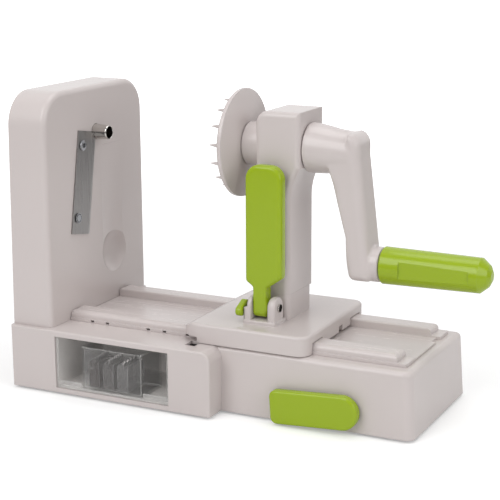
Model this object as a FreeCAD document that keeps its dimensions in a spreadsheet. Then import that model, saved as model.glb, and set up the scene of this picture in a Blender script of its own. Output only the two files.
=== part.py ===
import FreeCAD, Part
import Sketcher
import math
import os
import re

# Hand cranked spiralizer. X runs along the base from the blade tower (-X) to the
# crank (+X), Y across it (-Y is the side with the drawer and the levers), Z up.
# The origin is on the ground under the middle of the base, below the crank axis.

doc = FreeCAD.newDocument("spiralizer")
sheet = doc.addObject("Spreadsheet::Sheet", "sizes")

# ---------------------------------------------------------------------------
# Driving sizes, millimetres and degrees
# ---------------------------------------------------------------------------

SIZES = [
    # fits shared by all pieces
    ("slide_gap", 0.4, "play between pieces that slide on each other"),
    ("running_fit", 0.06, "radial play of a shaft in its bore"),
    ("seat_gap", 0.15, "play of a piece that is dropped into a seat"),
    ("turn_gap", 0.5, "axial play between pieces that turn past each other"),
    # base
    ("foot_height", 2, "height of the rubber feet below the base"),
    ("foot_radius", 8, "radius of a foot"),
    ("foot_inset", 14, "distance of a foot centre from the walls"),
    ("base_length", 320, "length of the base"),
    ("base_width", 114, "width of the base beside the storage end"),
    ("base_top", 50.5, "height of the base top above the ground"),
    ("side_draft", 1.5, "inset of the long walls at the top"),
    ("end_draft", 3, "inset of the right end wall at the top"),
    ("base_wall", 2.5, "wall of the base"),
    ("base_roof", 2.5, "thickness of the base top"),
    ("base_corner", 7, "radius of the front right upright corner"),
    ("base_back_corner", 2, "radius of the back right upright corner"),
    ("base_round", 4, "rounding of the upper edges of the base"),
    ("base_plate_thick", 2, "thickness of the closing plate"),
    ("boss_radius", 4, "radius of the screw bosses"),
    # storage end
    ("storage_front", 75, "front face of the storage end from the centre plane"),
    ("storage_length", 172, "length of the storage end"),
    ("storage_round", 8, "rounding of its upper right corner"),
    ("storage_edge", 1.5, "small rounding of the front edges"),
    ("window_start", 40, "window from the left end"),
    ("window_length", 98, "length of the window"),
    ("window_sill", 3.5, "window from the lower edge of the base"),
    ("window_height", 40.5, "height of the window"),
    ("sleeve_wall", 1.3, "wall of the drawer sleeve"),
    ("sleeve_depth", 68, "depth of the drawer sleeve"),
    ("catch_length", 8, "length of the catch notch in the storage roof"),
    ("catch_width", 11, "width of the catch notch"),
    ("catch_start", 146, "catch notch from the left end"),
    ("catch_near", 52, "near side of the catch notch from the centre plane"),
    # drawer with the spare blades
    ("drawer_wall", 1.6, "wall of the clear drawer"),
    ("drawer_depth", 62, "depth of the drawer"),
    ("drawer_recess", 1, "drawer front behind the storage front"),
    ("box_length", 52, "length of the clear blade box"),
    ("box_depth", 30, "depth of the clear blade box"),
    ("box_height", 33, "height of the clear blade box"),
    ("box_wall", 1.4, "wall of the clear blade box"),
    ("insert_length", 9, "thickness of a spare blade holder"),
    ("insert_depth", 23, "depth of a spare blade holder"),
    ("insert_height", 20, "height of a spare blade holder"),
    ("insert_pitch", 12.5, "distance between spare blades"),
    ("insert_tooth_rise", 3.2, "height of the teeth above their holder"),
    ("insert_plate_thick", 0.8, "thickness of a toothed plate"),
    # rails
    ("deck_width", 90, "width of the rail deck"),
    ("ledge_rise", 2.5, "side walls of the deck above the base top"),
    ("rail_rise", 7.9, "rail top above the base top"),
    ("rail_inner", 27, "inner side of a rail from the centre plane"),
    ("rail_width", 17, "width of a rail"),
    ("rail_round", 1.5, "rounding of the inner rail edges"),
    ("rail_outer_round", 4, "rounding of the outer rail edges"),
    ("rail_end_round", 4, "rounding of the right rail ends"),
    ("rail_start_round", 2.5, "rounding of the rail ends at the tower"),
    ("channel_rise", 1.5, "channel floor above the base top"),
    ("deck_wall", 2, "wall of the deck"),
    ("deck_end", 150.2, "right end of the deck"),
    ("rail_end", 143, "right end of the rails"),
    ("tower_joint", 0.5, "gap between the deck and the tower face"),
    ("side_hole_length", 3, "length of a hole in the deck's side wall"),
    ("side_hole_height", 1.6, "height of such a hole"),
    ("deck_seat", 4, "width of the base top under each side of the deck"),
    ("end_notch", 10, "width of the notch in the deck's right end"),
    # tower
    ("tower_thick", 34.6, "thickness of the tower at its foot"),
    ("tower_width", 140, "width of the tower"),
    ("tower_top", 228, "height of the tower top above the ground"),
    ("tower_lean", 3, "inset of the rear side at the top"),
    ("tower_corner", 25, "radius of the upper corners"),
    ("tower_round", 4, "rounding of the face edges"),
    ("tower_wall", 3, "wall of the tower"),
    ("face_wall", 4, "wall of the blade face"),
    ("trough_width", 30, "width of the trough beside the blade"),
    ("trough_depth", 2.2, "depth of the trough at its foot"),
    ("trough_fade", 0.3, "depth of the trough at its top"),
    ("trough_middle", 20.5, "middle of the trough from the centre plane"),
    ("trough_foot", 98, "lower end of the trough above the ground"),
    ("trough_head", 180, "upper end of the trough above the ground"),
    ("scoop_radius", 17.5, "radius of the round scoop"),
    ("scoop_depth", 7, "depth of the scoop"),
    ("scoop_middle", 22, "middle of the scoop from the centre plane"),
    ("scoop_height", 92.5, "middle of the scoop above the ground"),
    ("guide_depth", 8, "depth of the insert guides behind the face"),
    # corer and blade
    ("axis_height", 191.6, "crank axis above the ground"),
    ("corer_radius", 5.3, "outer radius of the coring tube at its end"),
    ("corer_root", 6.2, "outer radius of the coring tube at the tower face"),
    ("corer_wall", 0.6, "wall of the coring tube"),
    ("corer_reach", 12.4, "coring tube in front of the tower face"),
    ("corer_flange", 8.5, "radius of the tube's flange behind the face"),
    ("blade_start", 0.3, "upper end of the blade below the crank axis"),
    ("blade_length", 79.5, "length of the blade along its edge"),
    ("blade_width", 24, "width of the blade"),
    ("blade_thick", 0.9, "thickness of the blade"),
    ("blade_lean", 10, "lean of the blade in the plane of the face"),
    ("blade_offset", 2, "cutting edge beside the crank axis"),
    ("blade_lift", 1, "cutting edge in front of the face"),
    ("bevel_width", 2.6, "width of the ground bevel"),
    ("slot_width", 9, "width of the slicing slot under the blade"),
    ("slot_mouth", 1.8, "width of the slicing slot in front of the cutting edge"),
    ("blade_screw_radius", 4, "head radius of the blade screws"),
    ("blade_screw_shank", 2, "shank radius of the blade screws"),
    ("blade_screw_inset", 6.6, "blade screws from the back edge of the blade"),
    ("blade_screw_high", 11.5, "upper blade screw below the crank axis"),
    ("blade_screw_low", 67.4, "lower blade screw below the crank axis"),
    # carriage
    ("carriage_left", 24.5, "left end of the carriage left of the middle"),
    ("carriage_right", 79.4, "right end of the carriage right of the middle"),
    ("carriage_width", 112, "width of the carriage"),
    ("carriage_top", 65.3, "height of the carriage top above the ground"),
    ("carriage_slope", 12.5, "length of the sloping left end"),
    ("carriage_nose", 18, "radius of the left corners in plan"),
    ("carriage_corner", 9, "radius of the right corners in plan"),
    ("carriage_round", 2.2, "rounding of the carriage edges"),
    ("carriage_roof", 3, "thickness of the carriage top"),
    ("tongue_lift", 3.1, "carriage tongue in the channel above the base top"),
    ("nose_lift", 4.5, "underside of the carriage's left end above the base top"),
    ("skirt_start", 8, "left end of the carriage skirts left of the middle"),
    ("shoe_length", 30, "length of a guide shoe"),
    ("shoe_width", 7, "width of a guide shoe"),
    # column
    ("column_left", 22.5, "left side of the column from the middle"),
    ("column_thick", 27, "thickness of the column"),
    ("column_width", 41, "width of the column"),
    ("column_round", 4, "rounding of the column's upright edges"),
    ("column_wall", 3, "wall of the column"),
    ("column_foot", 84, "seam between column and carriage above the ground"),
    ("head_thick", 35, "thickness of the column head"),
    ("head_top", 218.5, "top of the head above the ground"),
    ("head_drop", 174, "lower end of the full head above the ground"),
    ("neck_drop", 152, "upper end of the plain column above the ground"),
    ("head_crown", 9, "rounding of the head's upper left edge"),
    ("collar_radius", 16, "radius of the collar towards the disk"),
    ("collar_length", 13, "length of that collar"),
    ("cover_thick", 2.5, "thickness of the column's back cover"),
    # push lever
    ("lever_height", 182, "top of the push lever above the ground"),
    ("lever_width", 29, "width of the push lever"),
    ("lever_thick", 10, "thickness of the push lever"),
    ("lever_middle", 36, "middle of the push lever from the middle"),
    ("lever_front", 31, "hinge pin in front of the centre plane"),
    ("lever_crown", 10.5, "radius of the push lever's upper corners"),
    ("lever_edge", 2.6, "rounding of the push lever's edges"),
    ("shoulder_left", 96, "left shoulder of the push lever above the ground"),
    ("shoulder_right", 100, "right shoulder of the push lever above the ground"),
    ("neck_top", 91.6, "upper end of the lever neck above the ground"),
    ("neck_left", 8.1, "left side of the neck from the lever's middle"),
    ("neck_right", 2.3, "right side of the neck from the lever's middle"),
    ("neck_drop_end", 7.8, "lower end of the neck below the hinge pin"),
    ("lever_hub", 5, "radius of the hub beside the neck"),
    ("ear_offset", 5.2, "right ear from the lever's middle"),
    ("pin_height", 77.4, "hinge pin above the ground"),
    ("pin_radius", 2, "radius of the hinge pin"),
    ("pin_head_radius", 3.2, "radius of its head"),
    ("pin_head_thick", 1.6, "thickness of its head"),
    ("ear_thick", 5.6, "thickness of a lever ear"),
    ("ear_radius", 8, "radius of a lever ear"),
    ("pawl_thick", 4, "thickness of the lock pawl"),
    ("pawl_reach", 11.5, "reach of the lock pawl from the pin"),
    ("pawl_hub", 4, "radius of the pawl's hub"),
    ("pawl_toe", 3.4, "radius of the pawl's toe"),
    ("pawl_angle", 38, "angle of the pawl below the horizontal"),
    # shaft, disk and crank
    ("shaft_radius", 5, "radius of the crank shaft"),
    ("bush_wall", 2, "wall of a shaft bush"),
    ("bush_length", 9, "length of a shaft bush"),
    ("bush_flange", 1.2, "thickness of a bush flange"),
    ("disk_radius", 40, "radius of the spiked disk"),
    ("disk_face", 1.1, "front face of the disk from the middle"),
    ("disk_rim", 3.6, "thickness of the disk rim"),
    ("disk_dish", 4.5, "depth of the dished back of the disk"),
    ("hub_radius", 11, "radius of the disk hub"),
    ("spike_count", 15, "spikes on the outer ring"),
    ("spike_ring", 33, "radius of the outer ring of spikes"),
    ("inner_spike_count", 8, "spikes on the inner ring"),
    ("inner_spike_ring", 20, "radius of the inner ring of spikes"),
    ("spike_length", 9.3, "length of a spike"),
    ("spike_radius", 2.1, "radius of a spike at its root"),
    ("disk_turn", 14.5, "turn of the spike rings from upright"),
    ("core_recess", 7, "radius of the recess for the coring tube"),
    ("crank_root_radius", 18.5, "radius of the crank at the head"),
    ("crank_neck_radius", 15, "radius of the crank where it turns down"),
    ("crank_reach", 42.5, "outer side of the crank from the head"),
    ("crank_drop", 81.6, "distance of the grip axis from the crank axis"),
    ("crank_top_width", 23, "thickness of the arm at its top"),
    ("crank_foot_width", 17.8, "thickness of the arm at its foot"),
    ("crank_tail", 11.5, "foot of the arm below the grip axis"),
    ("crank_inner_bend", 15, "radius of the inner bend of the arm"),
    ("crank_heel", 5, "radius of the inner corner of the foot"),
    ("crank_toe", 3.5, "radius of the outer corner of the foot"),
    ("seat_length", 4.4, "round seat of the grip in front of the arm"),
    ("crank_splay", 10.6, "the arm's foot outward of its top"),
    ("crank_side", 29, "width of the arm across"),
    ("crank_bend", 10, "radius of the outer bend of the arm"),
    ("crank_edge", 6, "rounding of the arm's edges"),
    # grip
    ("grip_radius", 13.6, "radius of the grip at its collar"),
    ("grip_end_radius", 12.6, "radius of the grip near its end"),
    ("grip_length", 80, "length of the grip"),
    ("grip_gap", 0.6, "play between the crank foot and the grip"),
    ("flat_start", 15, "finger flats from the collar"),
    ("flat_end", 66, "end of the finger flats from the collar"),
    ("flat_depth", 1.7, "depth of the finger flats"),
    ("flat_width", 17, "width of the finger flats"),
    ("spindle_radius", 4, "radius of the grip spindle"),
    ("spindle_head", 7, "radius of the spindle's head"),
    # suction mount
    ("cup_middle", 109.2, "cup and lever axle from the middle"),
    ("cup_radius", 38, "radius of the suction cup"),
    ("cup_rise", 8, "height of the cup's crown above the ground"),
    ("cup_wall", 2.4, "thickness of the suction cup"),
    ("axle_height", 17, "lever axle above the ground"),
    ("axle_radius", 4, "radius of the lever axle"),
    ("cam_throw", 3, "eccentricity of the cam"),
    ("cam_radius", 7.5, "radius of the cam"),
    ("cam_play", 0.9, "play of the cam in its yoke"),
    ("suction_lever_length", 67.2, "length of the suction lever"),
    ("suction_lever_height", 25, "height of the suction lever"),
    ("suction_lever_thick", 6, "thickness of the suction lever"),
    ("suction_lever_gap", 2, "suction lever in front of the base wall"),
    ("suction_lever_corner", 5, "corners of its left end"),
    ("suction_tilt", 3.5, "droop of its left end"),
    # fasteners
    ("screw_radius", 1.5, "shank radius of a housing screw"),
    ("screw_head", 3, "head radius of a housing screw"),
    ("screw_head_thick", 1.6, "head height of a housing screw"),
    ("screw_length", 10, "length of a housing screw"),
]

for row, (alias, value, meaning) in enumerate(SIZES, start=1):
    sheet.set("A%d" % row, meaning)
    sheet.set("B%d" % row, str(value))
    sheet.setAlias("B%d" % row, alias)
doc.recompute()

# Places that several pieces share, worked out from the driving sizes
PLACES = {
    "base_left": "-base_length / 2",
    "base_right": "base_length / 2",
    "half_base": "base_width / 2",
    "half_base_top": "base_width / 2 - side_draft",
    "plate_top": "foot_height + base_plate_thick",
    "roof_under": "base_top - base_roof",
    "storage_right": "base_left + storage_length",
    "window_left": "base_left + window_start",
    "window_right": "window_left + window_length",
    "window_low": "foot_height + window_sill",
    "window_high": "window_low + window_height",
    "sleeve_front": "-storage_front + base_wall",
    "sleeve_back": "sleeve_front + sleeve_depth",
    "drawer_front": "-storage_front + drawer_recess",
    "drawer_left": "window_left + slide_gap",
    "drawer_right": "window_right - slide_gap",
    "drawer_low": "window_low + slide_gap",
    "drawer_high": "window_high - slide_gap",
    "box_left": "(window_left + window_right - box_length) / 2",
    "box_low": "drawer_low + drawer_wall",
    "insert_low": "box_low + box_wall",
    "tower_face": "base_left + tower_thick",
    "tower_floor": "base_top + tower_wall",
    "half_tower": "tower_width / 2",
    "ledge_top": "base_top + ledge_rise",
    "rail_top": "base_top + rail_rise",
    "rail_outer": "rail_inner + rail_width",
    "channel_floor": "base_top + channel_rise",
    "deck_left": "tower_face + tower_joint",
    "half_deck": "deck_width / 2",
    "carriage_low": "base_top + slide_gap",
    "tongue_low": "base_top + tongue_lift",
    "nose_low": "base_top + nose_lift",
    "carriage_over_rail": "rail_top + slide_gap",
    "half_carriage": "carriage_width / 2",
    "half_column": "column_width / 2",
    "column_right": "column_left + column_thick",
    "head_right": "column_left + head_thick",
    "bush_bore": "shaft_radius + running_fit",
    "bush_radius": "shaft_radius + bush_wall",
    "disk_back": "disk_face + disk_rim + disk_dish",
    "crank_face": "head_right + turn_gap",
    "crank_outer": "head_right + crank_reach",
    "grip_start": "crank_outer + crank_splay + seat_length + grip_gap",
    "grip_bore": "spindle_radius + running_fit",
    "lever_back": "-lever_front + lever_thick / 2",
    "ear_left": "lever_middle - neck_left - slide_gap - ear_thick",
    "ear_right": "lever_middle + ear_offset",
    "suction_face": "-half_base - suction_lever_gap",
    "stem_top": "axle_height + cam_throw + cam_radius + cam_play + 3",
}

WORD = re.compile(r"[a-z_]+[a-z]")
ALIASES = {alias for alias, value, meaning in SIZES}


def expand(text):
    """Write a formula of size and place names as an expression on the sheet."""
    def name(match):
        word = match.group(0)
        if word in PLACES:
            return "(" + expand(PLACES[word]) + ")"
        if word in ALIASES:
            return "sizes." + word
        return word
    return WORD.sub(name, str(text))


def number(text):
    """The present value of a formula."""
    return float(sheet.evalExpression(expand(text)))


# ---------------------------------------------------------------------------
# Tools for sketches and features
# ---------------------------------------------------------------------------

PIECES = []
REMOVALS = []


def new_body(label, **place):
    """A body; place binds x, y, z of its placement to formulas."""
    body = doc.addObject("PartDesign::Body", label)
    body.Label = label
    for axis, text in place.items():
        body.setExpression("Placement.Base." + axis, expand(text))
    PIECES.append(body)
    return body


def turn_body(body, axis, angle):
    """Turn a body about an axis through its own origin by a bound angle."""
    place = body.Placement
    place.Rotation = FreeCAD.Rotation(FreeCAD.Vector(*axis), number(angle))
    body.Placement = place
    body.setExpression("Placement.Rotation.Angle", expand(angle))


def origin_item(body, role):
    return [item for item in body.Origin.OriginFeatures if item.Role == role][0]


def new_sketch(body, plane, height="0", shift=None):
    """A sketch parallel to a plane of the body, height along the world axis."""
    sketch = body.newObject("Sketcher::SketchObject", "sketch")
    sketch.AttachmentSupport = [(origin_item(body, plane + "_Plane"), "")]
    sketch.MapMode = "FlatFace"
    along = "-(%s)" % height if plane == "XZ" else height
    sketch.setExpression("AttachmentOffset.Base.z", expand(along))
    if shift:
        sketch.setExpression("AttachmentOffset.Base.x", expand(shift[0]))
        sketch.setExpression("AttachmentOffset.Base.y", expand(shift[1]))
    return sketch


def bind(sketch, kind, value, *places):
    index = sketch.addConstraint(Sketcher.Constraint(kind, *places, number(value)))
    sketch.setExpression("Constraints[%d]" % index, expand(value))


def arc_between(start, end, radius):
    """Arc from start to end; a positive radius turns left, a negative one right."""
    chord = end.sub(start)
    half = chord.Length / 2
    size = abs(radius)
    rise = math.sqrt(max(size * size - half * half, 0))
    normal = FreeCAD.Vector(-chord.y, chord.x, 0)
    normal.normalize()
    side = 1 if radius > 0 else -1
    middle = (start + end) * 0.5
    centre = middle + normal * (rise * side)
    peak = centre - normal * (size * side)
    return Part.Arc(start, peak, end)


def outline(sketch, points):
    """Closed outline. A point is (x, y), or (x, y, radius) where an arc leaves it."""
    spots = [FreeCAD.Vector(number(p[0]), number(p[1]), 0) for p in points]
    count = len(points)
    first = len(sketch.Geometry)
    ends = []
    for i, point in enumerate(points):
        start = spots[i]
        end = spots[(i + 1) % count]
        if len(point) == 3:
            radius = number(point[2])
            sketch.addGeometry(arc_between(start, end, radius), False)
            ends.append((1, 2) if radius > 0 else (2, 1))
        else:
            sketch.addGeometry(Part.LineSegment(start, end), False)
            ends.append((1, 2))
    for i in range(count):
        after = (i + 1) % count
        sketch.addConstraint(Sketcher.Constraint(
            "Coincident", first + i, ends[i][1], first + after, ends[after][0]))
    for i, point in enumerate(points):
        bind(sketch, "DistanceX", point[0], -1, 1, first + i, ends[i][0])
        bind(sketch, "DistanceY", point[1], -1, 1, first + i, ends[i][0])
        if len(point) == 3:
            size = point[2] if number(point[2]) > 0 else "-(%s)" % point[2]
            bind(sketch, "Radius", size, first + i)
    return sketch


def rectangle(sketch, left, right, low, high):
    return outline(sketch, [(left, low), (right, low), (right, high), (left, high)])


def circle(sketch, x, y, radius):
    index = sketch.addGeometry(Part.Circle(
        FreeCAD.Vector(number(x), number(y), 0), FreeCAD.Vector(0, 0, 1), number(radius)), False)
    bind(sketch, "DistanceX", x, -1, 1, index, 3)
    bind(sketch, "DistanceY", y, -1, 1, index, 3)
    bind(sketch, "Radius", radius, index)
    return sketch


def extrude(body, sketch, kind, length):
    feature = body.newObject("PartDesign::" + kind, kind.lower())
    feature.Profile = sketch
    feature.setExpression("Length", expand(length))
    if kind == "Pocket":
        feature.Reversed = True
        REMOVALS.append(feature)
    return feature


def prism(body, plane, low, high, points, kind="Pad"):
    """Extrusion of an outline between two heights along the plane's axis."""
    base = high if plane == "XZ" else low
    sketch = outline(new_sketch(body, plane, base), points)
    return extrude(body, sketch, kind, "(%s) - (%s)" % (high, low))


def block(body, x, y, z, kind="Pad"):
    """Box between the formulas in the pairs x, y and z."""
    sketch = rectangle(new_sketch(body, "XY", z[0]), x[0], x[1], y[0], y[1])
    return extrude(body, sketch, kind, "(%s) - (%s)" % (z[1], z[0]))


def rod(body, axis, low, high, spots, radius, kind="Pad"):
    """Cylinders along an axis between low and high, at spots in the cross plane."""
    plane = {"X": "YZ", "Y": "XZ", "Z": "XY"}[axis]
    base = high if axis == "Y" else low
    sketch = new_sketch(body, plane, base)
    for spot in spots:
        circle(sketch, spot[0], spot[1], radius)
    return extrude(body, sketch, kind, "(%s) - (%s)" % (high, low))


def turned(body, plane, points, axis, kind="Revolution", shift=None):
    """Turn an outline about the sketch's own H_Axis or V_Axis."""
    sketch = outline(new_sketch(body, plane, "0", shift), points)
    feature = body.newObject("PartDesign::" + kind, kind.lower())
    feature.Profile = sketch
    feature.ReferenceAxis = (sketch, [axis])
    feature.Angle = 360
    if kind == "Groove":
        REMOVALS.append(feature)
    return feature


def lofted(body, sections, kind="AdditiveLoft"):
    """Loft through sketches."""
    feature = body.newObject("PartDesign::" + kind, kind.lower())
    feature.Profile = sections[0]
    feature.Sections = sections[1:]
    feature.Ruled = True
    if kind == "SubtractiveLoft":
        REMOVALS.append(feature)
    return feature


def edges_where(shape, test):
    return ["Edge%d" % n for n, edge in enumerate(shape.Edges, start=1) if test(edge)]


def ease(body, radius, test, kind="Fillet"):
    """Fillet or chamfer of the edges that pass a test."""
    doc.recompute()
    tip = body.Tip
    feature = body.newObject("PartDesign::" + kind, kind.lower())
    feature.Base = (tip, edges_where(tip.Shape, test))
    feature.setExpression("Radius" if kind == "Fillet" else "Size", expand(radius))
    return feature


def value_of(point, axis):
    return {"X": point.x, "Y": point.y, "Z": point.z}[axis]


def edge_on(edge, axis, text, slack=0.01):
    """True where the whole edge lies in the plane axis = formula."""
    middle = edge.valueAt((edge.FirstParameter + edge.LastParameter) / 2)
    points = [vertex.Point for vertex in edge.Vertexes] + [middle]
    return all(abs(value_of(p, axis) - number(text)) < slack for p in points)


def edge_along(edge, axis):
    """True for a straight edge that runs mainly along an axis."""
    if len(edge.Vertexes) < 2:
        return False
    run = edge.Vertexes[1].Point - edge.Vertexes[0].Point
    return edge.Length < 1.0001 * run.Length and abs(value_of(run, axis)) > 0.9 * run.Length


def edge_middle(edge, axis):
    return value_of(edge.valueAt((edge.FirstParameter + edge.LastParameter) / 2), axis)


def screw_set(label, axis, seat, spots, towards, length="screw_length"):
    """Identical screws; the head sits on the seat plane, the shank points along towards."""
    body = new_body(label)
    head_far = "%s - (%s) * screw_head_thick" % (seat, towards)
    tip = "%s + (%s) * (%s)" % (seat, towards, length)
    ordered = (head_far, seat) if towards > 0 else (seat, head_far)
    shank = (seat, tip) if towards > 0 else (tip, seat)
    rod(body, axis, ordered[0], ordered[1], spots, "screw_head")
    rod(body, axis, shank[0], shank[1], spots, "screw_radius - running_fit")
    return body


# ---------------------------------------------------------------------------
# Base
# ---------------------------------------------------------------------------

BOSS_SPOTS = [
    ("base_right - base_wall - 9", "-(half_base - base_wall - 6)"),
    ("base_right - base_wall - 9", "half_base - base_wall - 6"),
    ("window_right + 57", "half_base - base_wall - 5"),
    ("window_right + 57", "-(half_base - base_wall - 5)"),
    ("window_right - 38", "half_base - base_wall - 5"),
    ("base_left + base_wall + 8", "half_tower - base_wall - 8"),
    ("base_left + base_wall + 8", "-(storage_front - base_wall - 8)"),
    ("storage_right - base_wall - 6", "-(storage_front - base_wall - 7)"),
]


def base_shell():
    body = new_body("base_shell")
    prism(body, "YZ", "base_left", "base_right", [
        ("-half_base", "foot_height"),
        ("half_base", "foot_height"),
        ("half_base_top", "base_top"),
        ("-half_base_top", "base_top")])
    prism(body, "XZ", "-half_base - 1", "half_base + 1", [
        ("base_right", "foot_height"),
        ("base_right + 1", "foot_height"),
        ("base_right + 1", "base_top + 1"),
        ("base_right - end_draft", "base_top + 1"),
        ("base_right - end_draft", "base_top")], "Pocket")
    ease(body, "base_corner", lambda e: edge_along(e, "Z") and edge_middle(e, "X") > 0
         and edge_middle(e, "Y") < 0)
    ease(body, "base_back_corner", lambda e: edge_along(e, "Z") and edge_middle(e, "X") > 0
         and edge_middle(e, "Y") > number("half_base") - 4)
    ease(body, "base_round", lambda e: edge_on(e, "Z", "base_top")
         and edge_middle(e, "X") > number("base_left") + 1)
    prism(body, "XZ", "-storage_front", "-half_base_top + base_round + 1", [
        ("base_left", "foot_height"),
        ("storage_right", "foot_height"),
        ("storage_right", "base_top - storage_round", "storage_round"),
        ("storage_right - storage_round", "base_top"),
        ("base_left", "base_top")])
    block(body, ("base_left", "tower_face"),
          ("half_base_top - base_round - 1", "half_tower"), ("foot_height", "base_top"))
    ease(body, "storage_edge", lambda e: edge_on(e, "Y", "-storage_front")
         and not edge_on(e, "Z", "foot_height"))
    # hollow from below
    block(body, ("base_left + base_wall", "base_right - end_draft - base_wall"),
          ("-(half_base_top - base_wall)", "half_base_top - base_wall"),
          ("foot_height - 1", "roof_under"), "Pocket")
    block(body, ("base_left + base_wall", "storage_right - storage_round / 2"),
          ("-(storage_front - base_wall)", "-(half_base_top - base_wall) + 1"),
          ("foot_height - 1", "roof_under"), "Pocket")
    block(body, ("base_left + base_wall", "tower_face - base_wall"),
          ("half_base_top - base_wall - 1", "half_tower - base_wall"),
          ("foot_height - 1", "roof_under"), "Pocket")
    # opening under the rail deck, drawer window, catch notch, axle bore
    opening = "half_deck - deck_seat"
    block(body, ("deck_left + 5", "rail_end - 3"), ("-(%s)" % opening, opening),
          ("roof_under - 1", "base_top + 1"), "Pocket")
    block(body, ("window_left", "window_right"), ("-storage_front - 1", "sleeve_front + 1"),
          ("window_low", "window_high"), "Pocket")
    block(body, ("base_left + catch_start", "base_left + catch_start + catch_length"),
          ("-catch_near - catch_width", "-catch_near"),
          ("roof_under - 1", "base_top + 1"), "Pocket")
    rod(body, "Y", "-half_base - 1", "-half_base_top + base_wall + 3",
        [("cup_middle", "axle_height")], "axle_radius + running_fit", "Pocket")
    rod(body, "Z", "roof_under - 1", "base_top + 1", TOWER_SCREWS, "screw_radius", "Pocket")
    # screw bosses
    rod(body, "Z", "plate_top", "roof_under + 0.5", BOSS_SPOTS, "boss_radius")
    rod(body, "Z", "plate_top - 1", "plate_top + screw_length", BOSS_SPOTS,
        "screw_radius", "Pocket")
    return body


def base_plate():
    body = new_body("base_plate")
    inner = "(base_wall + seat_gap)"
    block(body, ("base_left + " + inner, "base_right - end_draft - " + inner),
          ("-(half_base_top - %s)" % inner, "half_base_top - " + inner),
          ("foot_height", "plate_top"))
    block(body, ("base_left + " + inner, "storage_right - storage_round / 2 - seat_gap"),
          ("-(storage_front - %s)" % inner, "-(half_base_top - %s) + 1" % inner),
          ("foot_height", "plate_top"))
    block(body, ("base_left + " + inner, "tower_face - " + inner),
          ("half_base_top - %s - 1" % inner, "half_tower - " + inner),
          ("foot_height", "plate_top"))
    rod(body, "Z", "foot_height - 1", "plate_top + 1", [("cup_middle", "0")],
        "cup_radius + 1", "Pocket")
    rod(body, "Z", "foot_height - 1", "plate_top + 1", BOSS_SPOTS, "screw_radius", "Pocket")
    return body


FOOT_SPOTS = [
    ("base_left + foot_inset + 14", "-(storage_front - foot_inset)"),
    ("base_left + foot_inset + 14", "half_tower - foot_inset"),
    ("window_right + 38", "-(half_base - foot_inset - 3)"),
    ("base_right - foot_inset - 3", "half_base - foot_inset - 6"),
    ("base_right - foot_inset - 3", "-(half_base - foot_inset - 6)"),
    ("window_right + 38", "half_base - foot_inset - 3"),
    ("0", "0"),
]


def rubber_feet():
    body = new_body("rubber_feet")
    rod(body, "Z", "0", "foot_height", FOOT_SPOTS, "foot_radius")
    ease(body, "0.6", lambda e: edge_on(e, "Z", "0"), "Chamfer")
    return body


# ---------------------------------------------------------------------------
# Rails
# ---------------------------------------------------------------------------

SIDE_HOLES = ["20.4", "33.9", "69.9", "83.9", "103.6", "117.6"]


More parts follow.
